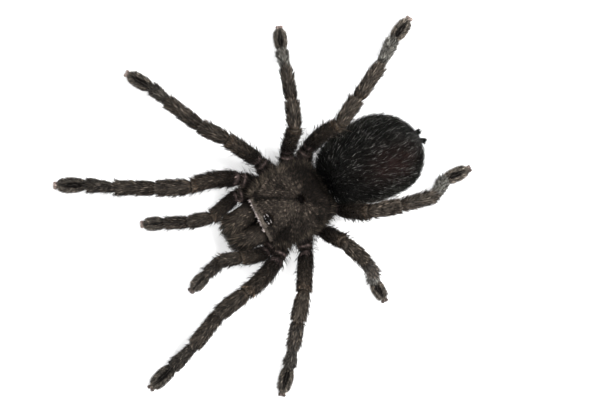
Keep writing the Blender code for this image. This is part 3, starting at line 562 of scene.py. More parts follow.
    def room(self, share, length):
        """How much of its length a hair keeps, so that it stops short of the next joint."""
        room = np.clip(((1 - share) * self.length + 0.3) / length, 0.3, 1.0)
        room = room * (0.6 + 0.4 * clamp(share * self.length / 1.5))
        if self.kind == "tarsus":
            room = room * (1 - 0.55 * ramp(share, 0.72, 0.2))
        if self.kind == "coxa":
            before_ring = np.where(share < 0.93, np.abs(0.9 - share) * self.length / length, 1.0)
            room = np.minimum(room, np.clip(before_ring, 0.25, 1.0))
        return room

    def hair_ways(self, share, angle):
        """The lie of the hair: along the segment, and spread to both sides on a foot."""
        ways = np.tile(self.axis, (len(share), 1))
        if self.kind == "tarsus":
            outwards = np.cos(angle)[:, None] * self.side - 0.25 * self.dorsal
            ways = unit(ways + outwards * (0.5 * (1 - share**2))[:, None])
        return ways

    def light_hairs(self, share):
        """Share of light hairs at these places, their share on the whole segment, and their colour."""
        few, tone = LIGHT_HAIRS.get(self.kind, (0.0, LEG_MID))
        if self.kind == "metatarsus":
            few = few * (0.4 + 0.6 * self.paleness)
            tone = mix(tones(LEG_FAR, 2), tone, self.paleness)
        many = 1 + 2.5 * self.paleness * (self.kind == "tarsus") * (share < 0.3)
        return few * many, few, tone


class Limb:
    """A leg or palp: its hip and its segments, from inside the body to the toe."""

    def __init__(self, name):
        hip, headings, pitches = POSE[name]
        self.name = name
        self.kind = "palp" if name.startswith("palp") else "leg_" + name[-1]
        lengths = SEGMENT_LENGTHS[self.kind]
        girth = LIMB_GIRTH[self.kind]
        joints = [body_point(*hip)]
        for length, heading, pitch in zip(lengths, headings, pitches):
            joints.append(joints[-1] + direction(heading, pitch) * length)
        heights = FOOT_Z["palp" if self.kind == "palp" else "leg"]
        for length, heading, height in zip(lengths[-2:], headings[-2:], heights):
            drop = math.degrees(math.asin((height * girth - joints[-1][2]) / length))
            joints.append(joints[-1] + direction(heading, drop) * length)
        ways = [unit(b - a) for a, b in zip(joints, joints[1:])]
        hip_way = unit(np.array((hip[0], hip[1] * 0.9, 0.0)))
        planes = [unit(hip_way + ways[0])] + [unit(a + b) for a, b in zip(ways, ways[1:])] + [ways[-1]]
        middle = body_point(0.0, 0.0, COXA_INNER_Z)
        root = middle + (joints[0] - middle) * (COXA_INNER_REACH, COXA_INNER_REACH, 0.0)
        out = math.degrees(math.atan2(hip_way[1], hip_way[0]))
        coxa = Segment("coxa", self, (root, joints[0]), out, (hip_way, planes[0]), girth**0.5)
        self.segments = [coxa]
        for i, part in enumerate(PALP_SEGMENTS if self.kind == "palp" else LEG_SEGMENTS):
            bow = FEMUR_BOW.get(name, 0.0) if part == "femur" else 0.0
            ends, between = joints[i : i + 2], planes[i : i + 2]
            self.segments.append(Segment(part, self, ends, headings[i], between, girth, bow))
        self.along = np.concatenate(([0.0], np.cumsum([segment.length for segment in self.segments])))

    def map_share(self, i, share):
        """Share of the whole limb's length, at shares of one segment's length."""
        return (self.along[i] + share * self.segments[i].length) / self.along[-1]

    def shell(self):
        """The limb's skin as one closed tube."""
        angles = full_turn(LIMB_SIDES)
        rows = []
        for i, segment in enumerate(self.segments):
            count = max(8, round(segment.length * RINGS_PER_MM))
            for share in np.linspace(0, 1, count + 1)[(1 if i else 0) :]:
                shares = np.full(LIMB_SIDES, share)
                ring = segment.point(shares, angles)
                if share == 1.0 and i + 1 < len(self.segments):
                    ring = (ring + self.segments[i + 1].point(np.zeros(LIMB_SIDES), angles)) / 2
                wide, tall = segment.section(share)
                along = self.along[i] + shares * segment.length
                lie = np.stack((along, wide * np.cos(angles), tall * np.sin(angles)), axis=-1)
                rows.append((ring, lie, *segment.markings(shares, angles, ring)))
        return Shell(rows)


class Shell:
    """A closed surface: points, faces, and for each point its lie, colour and bareness."""

    def __init__(self, rows):
        """A tube through rings of equal length, each end closed by a fan round its middle.

        Each row is one ring's points, lies, colours and bareness.
        """
        sides = len(rows[0][0])
        k = np.arange(sides)
        after = (k + 1) % sides
        last = (len(rows) - 1) * sides
        self.faces = []
        for a in range(0, last, sides):
            b = a + sides
            self.faces += np.stack((a + k, a + after, b + after, b + k), axis=-1).tolist()
        start = np.full(sides, last + sides)
        self.faces += np.stack((start, after, k), axis=-1).tolist()
        self.faces += np.stack((start + 1, last + k, last + after), axis=-1).tolist()
        columns = []
        for values in zip(*rows):
            ends = np.stack((values[0].mean(axis=0), values[-1].mean(axis=0)))
            columns.append(np.concatenate((*values, ends)))
        self.points, self.lies, self.colours, self.bares = columns


def behind_front(x, y):
    """How far a point lies behind the carapace's straight front edge."""
    return y + CARAPACE_FRONT + FRONT_TILT * x


def outline_reach(x, y):
    """How far out a point lies on the carapace's plan: 1 on the edge of the untrimmed shield."""
    across = np.abs(x) / CARAPACE_HALF_WIDTH
    front = (across**2.2 + (np.maximum(-y, 0) / CARAPACE_FRONT_TAPER) ** 2.2) ** (1 / 2.2)
    rear = (across**3 + (np.maximum(y, 0) / CARAPACE_REAR) ** 3) ** (1 / 3)
    return np.where(y < 0, front, rear)


def edge_points(angles, inset=0.0):
    """The carapace's edge on the rays that leave the fovea at these angles, as x and y."""
    cos, sin = np.cos(angles), np.sin(angles)
    low, high = np.zeros(angles.shape), np.full(angles.shape, 30.0)
    for _ in range(40):
        mid = (low + high) / 2
        x, y = FOVEA[0] + cos * mid, FOVEA[1] + sin * mid
        inside = (outline_reach(x, y) < 1) & (behind_front(x, y) > 0)
        low, high = np.where(inside, mid, low), np.where(inside, high, mid)
    return FOVEA[0] + cos * (low - inset), FOVEA[1] + sin * (low - inset)


def fovea_distance(x, y):
    """Distance from the middle of the fovea."""
    return np.hypot(x - FOVEA[0], y - FOVEA[1])


def mound_distance(x, y):
    """Distance from the middle of the eye mound, 1 on its edge."""
    return np.hypot((x - MOUND_CENTRE[0]) / MOUND_RADIUS[0], (y - MOUND_CENTRE[1]) / MOUND_RADIUS[1])


def radial_grooves(x, y):
    """Depth, from 0 to 1, of the grooves that run out from the fovea between the hips."""
    angle = np.degrees(np.arctan2(x - FOVEA[0], -(y - FOVEA[1])))
    away = fovea_distance(x, y)
    total = np.zeros(np.shape(angle))
    for middle, strength in GROOVES:
        for side in (-1, 1):
            total = total + strength * bump(angle, side * middle, 5.0 + 8.0 / (away + 1.0))
    return total * ramp(away, 1.5, 2.5) * ramp(away, 12.0, -4.0)


def head_edge(x, y):
    """Distance from the raised head's middle line, 1 at its edge, and how far forward it is."""
    half = HEAD_HALF_WIDTH * (0.35 + 0.65 * ramp(y, FOVEA[1], -12.0))
    return np.abs(x - FOVEA[0] * 0.5) / half, ramp(y, FOVEA[1], -6.0)


def carapace_height(x, y):
    """Height of the carapace's skin above its flat underside."""
    reach = np.minimum(outline_reach(x, y), 1.0)
    dome = CARAPACE_DOME * (1 - reach**2.2) ** 0.6
    off_head, forward = head_edge(x, y)
    head = HEAD_RISE * forward * np.exp(-(off_head**3.2))
    groove = 0.5 * forward * bump(off_head, HEAD_GROOVE, 0.2) * clamp((1 - reach) * 5)
    hollows = groove + 0.32 * radial_grooves(x, y) + FOVEA_DEPTH * spot(x, y, FOVEA, FOVEA_SIZE)
    return CARAPACE_EDGE + dome + head - hollows - CARAPACE_SKIN_DEPTH


def carapace_normal(x, y):
    """Outward unit vectors of the carapace's top."""
    step = 0.05
    slope_x = (carapace_height(x + step, y) - carapace_height(x - step, y)) / (2 * step)
    slope_y = (carapace_height(x, y + step) - carapace_height(x, y - step)) / (2 * step)
    return unit(np.stack((-slope_x, -slope_y, np.ones(np.shape(x))), axis=-1))


def carapace_markings(x, y):
    """Colour of the carapace, with painted shade in its grooves and round its pit and the abdomen's
    painted shadow over its rear, and how bare it is.
    """
    off_head, forward = head_edge(x, y)
    points = np.stack((x, y, np.zeros(np.shape(x))), axis=-1)
    run = clamp(((x - FOVEA[0]) * RIGHT_LINE[0] + (y - FOVEA[1]) * RIGHT_LINE[1]) / RIGHT_LINE_LENGTH)
    along = run * RIGHT_LINE_LENGTH
    off_line = fovea_distance(x - RIGHT_LINE[0] * along, y - RIGHT_LINE[1] * along)
    # Painted shade in the radial grooves and in the left head groove, which are also hollows in the
    # height.
    shade = 0.75 * radial_grooves(x, y) + 0.6 * forward * bump(off_head, HEAD_GROOVE, 0.17) * (x > 0)
    # The dark line forward from the fovea, and painted shade round the pit.
    shade += 0.95 * bump(off_line, 0.0, 0.4 + 0.35 * run) + 0.75 * bump(fovea_distance(x, y), 0.0, 2.1)
    # Painted shadow of the abdomen over the rear, weaker on the animal's left; then the animal's left side
    # is darker.
    shade += 0.95 * ramp(y, 3.6, 2.5) * (1 - 0.55 * ramp(x, 2.5, 3.0)) + 0.4 * ramp(x, 3.0, 5.0)
    for centre, size, strength in DARK_SPOTS:
        shade += strength * spot(x, y, centre, size)
    shade += 0.22 * clamp(waves(points, 4.5, 21)) + 0.9 * bump(mound_distance(x, y), 1.0, 0.4)
    tan = ramp(behind_front(x, y), FRONT_STRIP, -0.3)
    tan = tan * ramp(x, STRIP_SPAN[0], 0.5) * ramp(x, STRIP_SPAN[1], -0.5)
    colour = mix(mix(CARAPACE_BROWN, CARAPACE_SHADE, shade), FRONT_TAN, tan)
    rim = ramp(outline_reach(x, y), 0.955, 0.04) * (1 - tan)
    colour = mix(colour, CARAPACE_SHADE, 0.4 * rim)
    # The pit is bare and painted near-black: painted shade in the hollow.
    ragged = clamp(spot(x, y, FOVEA, FOVEA_SIZE) * 2.2 + 0.3 * waves(points, 0.9, 12) - 0.2)
    return mix(colour, PIT, ragged), ragged


def carapace_shell():
    """The shield: a domed top over rays from the fovea, a rounded edge and a flat underside."""
    sides = 160
    angles = full_turn(sides)
    edge_x, edge_y = edge_points(angles, 0.1)
    levels = [(share, None) for share in np.linspace(0.02, 1.0, 44) ** 0.85]
    levels += [(1.012, CARAPACE_EDGE * 0.6), (1.004, CARAPACE_EDGE * 0.25), (0.985, 0.05), (0.6, 0.3)]
    rows = []
    for share, height in levels:
        x = FOVEA[0] + (edge_x - FOVEA[0]) * share
        y = FOVEA[1] + (edge_y - FOVEA[1]) * share
        rise = carapace_height(x, y) if height is None else np.full(sides, height)
        lie = np.stack((fovea_distance(x, y), 8 * np.cos(angles), 8 * np.sin(angles)), axis=-1)
        rows.append((body_point(x, y, CARAPACE_BASE_Z + rise), lie, *carapace_markings(x, y)))
    return Shell(rows)


def underbody_wall(angle, step):
    """The underbody's wall at these angles round it and steps down its levels, as x, y and z."""
    table = np.array(UNDERBODY_LEVELS)
    z, inset = (np.interp(step, np.arange(len(table)), column) for column in table.T)
    x, y = edge_points(angle, inset)
    limit = np.interp(z, (5.0, 7.0), (CARAPACE_FRONT - 3.5, CARAPACE_FRONT - 0.4))
    return x, np.maximum(np.where(y < -8, y - 1.4, y), -limit), z


def underbody_shell():
    """The wall under the carapace, drawn in towards the breastplate."""
    sides = 120
    rows = []
    for step in np.linspace(0, len(UNDERBODY_LEVELS) - 1, 26):
        x, y, z = underbody_wall(full_turn(sides), np.full(sides, step))
        lie = np.stack((z, x, y), axis=-1)
        rows.append((body_point(x, y, z), lie, tones(UNDERSIDE, np.ones(sides)), np.full(sides, 0.2)))
    return Shell(rows)


def abdomen_axis(y):
    """Points on the abdomen's middle line."""
    swing = math.tan(math.radians(ABDOMEN_SWING)) * (y - ABDOMEN_FRONT_Y)
    return body_point(swing, y, ABDOMEN_CENTRE_Z)


def abdomen_point(share, angle):
    """Skin of the abdomen: share runs from the front end (0) to the rear end (1)."""
    share, angle = np.broadcast_arrays(np.asarray(share, float), np.asarray(angle, float))
    y = ABDOMEN_FRONT_Y + (ABDOMEN_REAR_Y - ABDOMEN_FRONT_Y) * (1 - np.cos(math.pi * share)) / 2
    ahead = ramp(y, ABDOMEN_WIDEST_Y, ABDOMEN_FRONT_Y - ABDOMEN_WIDEST_Y)
    behind = ramp(y, ABDOMEN_WIDEST_Y, ABDOMEN_REAR_Y - ABDOMEN_WIDEST_Y)
    size = np.maximum(0, 1 - ahead**2.4) ** (1 / 2.4) * np.maximum(0, 1 - behind**2) ** 0.5
    level = np.sin(angle)
    wide = np.cos(angle) * ABDOMEN_HALF_WIDTH * size
    tall = level * ABDOMEN_HALF_HEIGHT * np.where(level > 0, 1.0, 0.93) * size
    offset = np.stack((wide, np.zeros(y.shape), tall), axis=-1)
    centre = abdomen_axis(y)
    return centre + offset * (1 + 0.003 * waves(centre + offset, 9.0, 31))[..., None]


def abdomen_markings(share, angle, points):
    """Black, with a faint reddish patch on the animal's left towards the rear."""
    patch = bump(share, 0.6, 0.17) * bump(np.degrees(angle), 68.0, 24.0)
    patch = patch * (0.75 + 0.25 * waves(points, 3.0, 5))
    return mix(ABDOMEN_BLACK, ABDOMEN_RED, patch), np.zeros(share.shape)


def abdomen_shell():
    """The abdomen's egg, from its front end to its rear end."""
    sides = 112
    angles = full_turn(sides)
    rows = []
    for share in np.linspace(0.012, 0.988, 64):
        shares = np.full(sides, share)
        ring = abdomen_point(shares, angles)
        from_axis = (ring - abdomen_axis(ring[:, 1] - BODY_Y))[:, [0, 2]]
        lie = np.concatenate(((shares * 36)[:, None], from_axis), axis=-1)
        rows.append((ring, lie, *abdomen_markings(shares, angles, ring)))
    return Shell(rows)


def bezier(points, steps):
    """Points along a smooth curve that starts at the first point and ends at the last."""
    t = np.linspace(0, 1, steps)[:, None]
    rows = [np.tile(p, (steps, 1)) for p in points]
    while len(rows) > 1:
        rows = [a * (1 - t) + b * t for a, b in zip(rows, rows[1:])]
    return rows[0]


def path_frame(path):
    """Unit vectors ahead along a path, and two across it."""
    ahead = unit(np.gradient(path, axis=0))
    wide = unit(np.array((1.0, 0.0, 0.0)) - ahead * ahead[:, :1])
    return ahead, wide, np.cross(ahead, wide)


def tube_rings(path, radii, sides):
    """Rings round a path, each with its own radius."""
    _, wide, tall = path_frame(path)
    turns = full_turn(sides)[None, :, None]
    around = np.cos(turns) * wide[:, None] + np.sin(turns) * tall[:, None]
    return path[:, None] + around * np.asarray(radii)[:, None, None]


def plain_shell(rings, colour, bare):
    """A tube of one colour, with the lie along it."""
    sides = len(rings[0])
    angles = full_turn(sides)
    colours, bares = tones(colour, np.ones(sides)), np.full(sides, bare)
    rows = []
    for i, ring in enumerate(rings):
        lie = np.stack((np.full(sides, float(i)), np.cos(angles), np.sin(angles)), axis=-1)
        rows.append((ring, lie, colours, bares))
    return Shell(rows)


def pedicel_shell():
    """The thin stalk between the carapace and the abdomen."""
    y, radii = np.array(PEDICEL_PROFILE).T
    path = body_point(0.0, y, PEDICEL_Z + (y - y[0]) * PEDICEL_SLOPE)
    return plain_shell(tube_rings(path, radii, 24), ABDOMEN_BLACK, 0.3)


def spinneret_path(side):
    """Middle line of a spinneret: out of the abdomen and bent back."""
    angle = math.radians(-90 + side * SPINNERET_SPREAD)
    root = abdomen_point(SPINNERET_ROOT, angle)
    out, _ = surface_frame(abdomen_point, np.array(SPINNERET_ROOT), np.array(angle))
    back = np.array((side * 0.25 + 0.25, 1.0, 0.1))
    return bezier([root - out * 0.8, root + out * 2.2, root + out * 2.5 + back * 1.3,
                   root + out * 1.2 + back * 2.9], 28)


def spinneret_shell(side):
    """A jointed, tapered spinneret."""
    path = spinneret_path(side)
    places = np.linspace(0, 1, len(SPINNERET_TAPER))
    radii = SPINNERET_RADIUS * np.interp(np.linspace(0, 1, len(path)), places, SPINNERET_TAPER)
    return plain_shell(tube_rings(path, radii, 20), ABDOMEN_BLACK, 0.3)


def chelicera_point(side, share, angle):
    """Skin of a chelicera at these shares of its length and angles round it."""
    share, angle = np.broadcast_arrays(np.asarray(share, float), np.asarray(angle, float))
    shares, widths, heights = np.array(CHELICERA_PROFILE).T
    half_width = (CHELICERA_HALF_WIDTH - SKIN_DEPTH) * np.interp(share, shares, widths)
    middle = side * (CHELICERA_GAP + half_width) + CHELICERA_SHIFT
    z = CHELICERA_Z - CHELICERA_DROP * np.maximum(share, 0) ** 1.5
    high = np.sin(angle) * (CHELICERA_HALF_HEIGHT - SKIN_DEPTH) * np.interp(share, shares, heights)
    y = -(CHELICERA_START + CHELICERA_LENGTH * share)
    return body_point(middle + np.cos(angle) * half_width, y, z + high)


def chelicera_markings(side, share, angle):
    """Brown over the middle, with painted shade at its root under the carapace's edge, on its inner side
    and on its flanks, and darker at its front end.
    """
    # Painted shade at the root, under the carapace's front edge; darker towards the front end.
    light = ramp(share, 0.05, 0.12) * (1 - 0.75 * ramp(share, 0.5, 0.35))
    # Painted shade on the inner side, in the gap between the two chelicerae.
    gap_shade = clamp(0.35 - side * np.cos(angle)) * ramp(share, 0.48, -0.25)
    light = light * (1 - 0.8 * gap_shade)
    # Painted shade down the flanks, darkest at the sides and lightest along the top.
    flank_shade = np.clip(1.6 - 1.15 * np.abs(np.cos(angle)), 0.3, 1)
    colour = mix(CARAPACE_SHADE, tones(CARAPACE_BROWN, 0.77), light)
    return colour * flank_shade[..., None], np.zeros(share.shape)


def chelicera_shell(side):
    """One chelicera, from inside the carapace to its front end."""
    sides = 44
    angles = full_turn(sides)
    rows = []
    for share in np.linspace(-0.12, 1.0, 40):
        shares = np.full(sides, share)
        lie = np.stack((shares * 12, 3 * np.cos(angles), 4 * np.sin(angles)), axis=-1)
        marks = chelicera_markings(side, clamp(shares), angles)
        rows.append((chelicera_point(side, shares, angles), lie, *marks))
    return Shell(rows)


def linked(name, mesh):
    """An object of this mesh, put into the scene."""
    obj = bpy.data.objects.new(name, mesh)
    bpy.context.scene.collection.objects.link(obj)
    return obj


def mesh_object(name, points, faces):
    """A mesh object from points in millimetres and a list of faces, turned to face outwards."""
    mesh = bpy.data.meshes.new(name)
    mesh.from_pydata((points * MM).tolist(), [], faces)
    mesh.update()
    mesh.calc_loop_triangles()
    tris = np.zeros(len(mesh.loop_triangles) * 3, np.int32)
    mesh.loop_triangles.foreach_get("vertices", tris)
    a, b, c = (points[tris.reshape(-1, 3)[:, i]] for i in range(3))
    if np.einsum("ij,ij->i", a, np.cross(b, c)).sum() < 0:
        mesh.flip_normals()
    return linked(name, mesh)


def store(mesh, name, kind, values):
    """Stores one value for each vertex of the mesh."""
    fields = {"FLOAT_COLOR": "color", "FLOAT_VECTOR": "vector", "FLOAT": "value"}
    if kind == "FLOAT_COLOR":
        values = np.concatenate((values, np.ones((len(values), 1))), axis=-1)
    layer = mesh.attributes.new(name, kind, "POINT")
    layer.data.foreach_set(fields[kind], np.ascontiguousarray(values, np.float32).ravel())


def skin_object(shells):
    """One closed skin: the shells fused, with the colours of the nearest point of any of them."""
    objects = [mesh_object(f"shell_{i}", s.points, s.faces) for i, s in enumerate(shells)]
    group = bpy.data.collections.new("shells")
    bpy.context.scene.collection.children.link(group)
    for obj in objects[1:]:
        bpy.context.scene.collection.objects.unlink(obj)
        group.objects.link(obj)
    skin = objects[0]
    skin.name = "skin"
    union = skin.modifiers.new("union", "BOOLEAN")
    union.operation = "UNION"
    union.operand_type = "COLLECTION"
    union.collection = group
    union.solver = "MANIFOLD"
    graph = bpy.context.evaluated_depsgraph_get()
    fused = bpy.data.meshes.new_from_object(skin.evaluated_get(graph))
    skin.modifiers.clear()
    skin.data = fused
    for obj in objects[1:]:
        bpy.data.objects.remove(obj)
    bpy.data.collections.remove(group)
    points = np.concatenate([s.points for s in shells])
    tree = kdtree.KDTree(len(points))
    for i, point in enumerate(points * MM):
        tree.insert(point, i)
    tree.balance()
    nearest = np.array([tree.find(v.co)[1] for v in fused.vertices])
    store(fused, "markings", "FLOAT_COLOR", np.concatenate([s.colours for s in shells])[nearest])
    store(fused, "lie", "FLOAT_VECTOR", np.concatenate([s.lies for s in shells])[nearest])
    store(fused, "bare", "FLOAT", np.concatenate([s.bares for s in shells])[nearest])
    fused.shade_smooth()
    return skin


class Hairs:
    """Hairs of one coat piece, gathered as arrays and then made into one mesh."""

    def __init__(self, name, rng):
        self.name = name
        self.rng = rng
        self.parts = []

    def add(self, roots, normals, ways, form, colours, places, contrast=0.8, sway=0.16):
        """Adds hairs: where they root, their skin's normal, their lie, form and colour.

        The form is their length, width at the root, lift and bend back.
        """
        n = len(roots)
        rng = self.rng
        length, width, lift, droop = form
        length = length * rng.uniform(*LENGTH_RANGE, n)
        width = width * rng.uniform(*WIDTH_RANGE, n)
        lift = np.radians(lift + rng.normal(0, LIFT_SPREAD, n))
        droop = np.radians(droop + rng.normal(0, DROOP_SPREAD, n))
        lean = rng.normal(0, sway, n) + waves(roots, CLUMP_SIZE, 17) * CLUMP_LEAN
        ways = unit(ways + np.cross(normals, ways) * lean[:, None])
        first = ways * np.cos(lift)[:, None] + normals * np.sin(lift)[:, None]
        second = ways * np.cos(lift - droop)[:, None] + normals * np.sin(lift - droop)[:, None]
        middles = roots + first * (length * 0.5)[:, None]
        tips = middles + second * (length * 0.5)[:, None]
        shade = np.clip(np.exp(rng.normal(-0.5 * contrast**2, contrast, n)), *TONE_RANGE)
        roots = roots - normals * ROOT_DEPTH
        sides = unit(np.cross(first, normals))
        self.parts.append((roots, middles, tips, sides, normals, width, colours * shade[:, None], places))

    def build(self):
        """The coat piece: closed hairs of three sides, tapered and bent once."""
        columns = [np.concatenate(column) for column in zip(*self.parts)]
        roots, middles, tips, sides, normals, width, colours, places = columns
        n = len(roots)
        points = np.zeros((n, 7, 3))
        for ring, (centre, share) in enumerate(((roots, 1.0), (middles, MIDDLE_WIDTH))):
            half = (width * share / 2)[:, None]
            points[:, ring * 3] = centre + sides * half - normals * half * 0.5
            points[:, ring * 3 + 1] = centre - sides * half - normals * half * 0.5
            points[:, ring * 3 + 2] = centre + normals * half * 0.7
        points[:, 6] = tips
        points[..., 2] = np.maximum(points[..., 2], HAIR_LOWEST)
        triangles = (np.array(HAIR_FACES)[None] + 7 * np.arange(n)[:, None, None]).reshape(-1, 3)
        mesh = bpy.data.meshes.new(self.name)
        mesh.vertices.add(n * 7)
        mesh.vertices.foreach_set("co", (points * MM).astype(np.float32).ravel())
        mesh.loops.add(len(triangles) * 3)
        mesh.loops.foreach_set("vertex_index", triangles.astype(np.int32).ravel())
        mesh.polygons.add(len(triangles))
        mesh.polygons.foreach_set("loop_start", np.arange(0, len(triangles) * 3, 3, dtype=np.int32))
        mesh.update(calc_edges=True)
        mesh.shade_smooth()
        shaded = colours[:, None] * np.array(HAIR_TONES)[None, :, None]
        store(mesh, "markings", "FLOAT_COLOR", shaded.reshape(-1, 3))
        spots = np.clip(places, 0, 1 - PATCH)[:, None] + np.array(PATCH_PLACES)[None] * PATCH
        layer = mesh.uv_layers.new(name="OFBake")
        layer.data.foreach_set("uv", spots.reshape(-1, 2)[triangles.ravel()].astype(np.float32).ravel())
        return linked(self.name, mesh)


def streak(along, angle, radius, drawn_out=5.0, strength=1.0):
    """Light and dark strands that run with the lie: a factor round 1 at these places."""
    spots = np.stack((along / drawn_out, np.cos(angle) * radius, np.sin(angle) * radius), axis=-1)
    return np.exp(STREAK * strength * waves(spots, 0.62, 41))[:, None]


def limb_coat(limb, rng):
    """The coat of one limb: lying hair, longer bristles, foot pads and toe tufts."""
    hairs = Hairs("coat_" + limb.name, rng)
    for i, segment in enumerate(limb.segments):
        add_lying_hair(hairs, limb, i, rng)
        if i:
            add_joint_hair(hairs, limb, i, rng)
        if segment.kind == "tibia":
            add_spines(hairs, limb, i, rng)
    add_slot_hair(hairs, limb, rng)
    add_tufts(hairs, limb, rng)
    return hairs.build()


def add_lying_hair(hairs, limb, i, rng):
    """The hair of one segment, with some light hairs and some longer, raised, dark bristles."""
    segment = limb.segments[i]
    kind = segment.kind
    density, length, width, lift, droop = COAT[kind]
    length = length * segment.coat_share
    n = int(segment.length * math.pi * sum(segment.half) * 0.95 * density)
    share = rng.uniform(0.0, 1.0, n) ** 1.15
    angle = rng.uniform(-math.pi, math.pi, n)
    if kind == "coxa":
        share = 0.4 + 0.6 * share
    roots = segment.point(share, angle)
    # The hairs take the skin's colours, the painted underside shade included.
    colour, bare = segment.markings(share, angle, roots)
    far_edge = clamp(1 - (1 - share) * segment.length / 0.5)
    keep = rng.uniform(0, 1, n) > np.maximum(bare, far_edge * 0.6)
    share, angle, roots, colour = share[keep], angle[keep], roots[keep], colour[keep]
    n = len(share)
    strength = 1.9 if kind == "tarsus" else 1.0
    colour = colour * streak(share * segment.length, angle, segment.half[0], strength=strength)
    long = rng.uniform(0, 1, n) < (FOOT_BRISTLE_SHARE if kind == "tarsus" else BRISTLE_SHARE)
    under = clamp(-np.sin(angle))
    light_share, few, tone = segment.light_hairs(share)
    light = (rng.uniform(0, 1, n) < light_share * (1 - under)) & ~long
    colour = mix(colour * (1 - 0.6 * few), tone, 0.85 * light)
    colour = mix(colour, tones(LEG_BASE, 1.3), 0.6 * long)
    longer, raised = BRISTLE_NEAR if kind in ("coxa", "femur") else BRISTLE_FAR
    lengths = length * (1 + 0.25 * under) * np.where(long, longer, segment.room(share, length))
    lengths = lengths * np.where(light, 1.2, 1.0)
    lifts = lift + np.where(long, rng.uniform(6.0, raised, n), 0.0)
    if kind == "coxa":
        colour = mix(colour, FRINGE_GOLD, 0.7 * (rng.uniform(0, 1, n) < 0.12))
    form = (lengths, width, lifts, droop)
    places = turn_places(limb.map_share(i, share), angle)
    hairs.add(roots, segment.normal(angle), segment.hair_ways(share, angle), form, colour, places)


def add_joint_hair(hairs, limb, i, rng):
    """Short fine hair on the first part of a segment, which the longer hair doesn't reach."""
    segment = limb.segments[i]
    n = int(JOINT_HAIR_DENSITY * JOINT_HAIR_REACH * math.pi * sum(segment.half))
    share = rng.uniform(0.0, JOINT_HAIR_REACH / segment.length, n)
    angle = rng.uniform(-math.pi, math.pi, n)
    roots = segment.point(share, angle)
    # The hairs take the skin's colours, the painted underside shade included.
    colour, bare = segment.markings(share, angle, roots)
    keep = bare < 0.5
    share, angle, roots, colour = share[keep], angle[keep], roots[keep], colour[keep]
    ways = np.tile(segment.axis, (len(share), 1))
    places = turn_places(limb.map_share(i, share), angle)
    hairs.add(roots, segment.normal(angle), ways, JOINT_HAIR, colour, places, 0.6)


def add_spines(hairs, limb, i, rng):
    """A few stout spines at the far end of a tibia."""
    segment = limb.segments[i]
    n = COUNTS["spine"]
    share = rng.uniform(0.72, 0.96, n)
    angle = rng.uniform(-math.pi * 1.1, math.pi * 0.1, n)
    places = np.stack((limb.map_share(i, share), (angle / (2 * math.pi)) % 1), axis=-1)
    ways = np.tile(segment.axis, (n, 1))
    colour = tones(LEG_BASE, np.ones(n))
    roots, normals = segment.point(share, angle), segment.normal(angle)
    hairs.add(roots, normals, ways, SPINE, colour, places)


def add_slot_hair(hairs, limb, rng):
    """Fine hairs that lie along the dark slot on top of a foot, most of them on its middle ridge."""
    last = len(limb.segments) - 1
    segment = limb.segments[last]
    n = COUNTS["slot"]
    ridge = rng.uniform(0, 1, n) < 0.55
    reach = segment.slot_half
    off = np.where(ridge, rng.normal(0, 2.0, n), rng.uniform(-reach, reach, n))
    angle = math.pi / 2 + np.radians(off)
    share = rng.uniform(0.08, 0.72, n)
    colour = mix(SLOT, PAD, rng.uniform(0.0, 1.0, n) * np.where(ridge, 0.9, 0.25))
    roots, normals = segment.point(share, angle), segment.normal(angle)
    ways = np.tile(segment.axis, (n, 1))
    places = turn_places(limb.map_share(last, share), angle)
    hairs.add(roots, normals, ways, SLOT_HAIR, colour, places, 0.6, 0.05)


def add_tufts(hairs, limb, rng):
    """The two lobes of dense hair under the claws."""
    segment = limb.segments[-1]
    n = COUNTS["tuft"]
    for side in (-1, 1):
        angle = (0.0 if side > 0 else math.pi) + rng.normal(0, 0.75, n)
        share = rng.uniform(0.945, 1.0, n)
        ways = unit(segment.axis + side * 0.12 * segment.side - 0.1 * segment.dorsal)
        ways = unit(np.tile(ways, (n, 1)) + rng.normal(0, 0.2, (n, 3)))
        places = np.stack((np.full(n, 0.985), (angle / (2 * math.pi)) % 1), axis=-1)
        colour = mix(TUFT, tones(JOINT_RING, 1.2), rng.uniform(0, 1, n) ** 1.3) * segment.tuft_paleness
        roots, normals = segment.point(share, angle), segment.normal(angle)
        hairs.add(roots, normals, ways, TUFT_HAIR, colour, places, 0.4)


def abdomen_roots(count, rng):
    """Shares and angles that spread roots over the abdomen."""
    share = np.arccos(1 - 2 * rng.uniform(0.004, 0.995, count)) / math.pi
    return share, rng.uniform(-math.pi, math.pi, count)


def abdomen_coat(rng):
    """Black hair that runs back over the abdomen, longer at the waist and raised along the sides, where
    some are grey for a painted sheen.
    """
    hairs = Hairs("coat_abdomen", rng)
    length, width, lift, droop = ABDOMEN_HAIR
    count = COUNTS["abdomen"]
    share, angle = abdomen_roots(count, rng)
    roots = abdomen_point(share, angle)
    normals, ways = surface_frame(abdomen_point, share, angle)
    colour, _ = abdomen_markings(share, angle, roots)
    # Painted sheen: some raised hairs along the sides are made grey.
    raised = rng.uniform(0, 1, count) < 0.3 * ramp(np.abs(np.cos(angle)), 0.75, 0.2)
    waist = ramp(share, 0.26, -0.14)
    colour = mix(colour, ABDOMEN_RIM_SHEEN, 0.8 * raised) * (1 - 0.5 * waist)[:, None]
    form = (length * (1 + 0.35 * waist), width, lift + 16 * waist + 24 * raised, droop)
    places = turn_places(share, angle)
    hairs.add(roots, normals, ways, form, colour, places, 0.45, 0.12 + 0.25 * waist)
    return hairs.build()


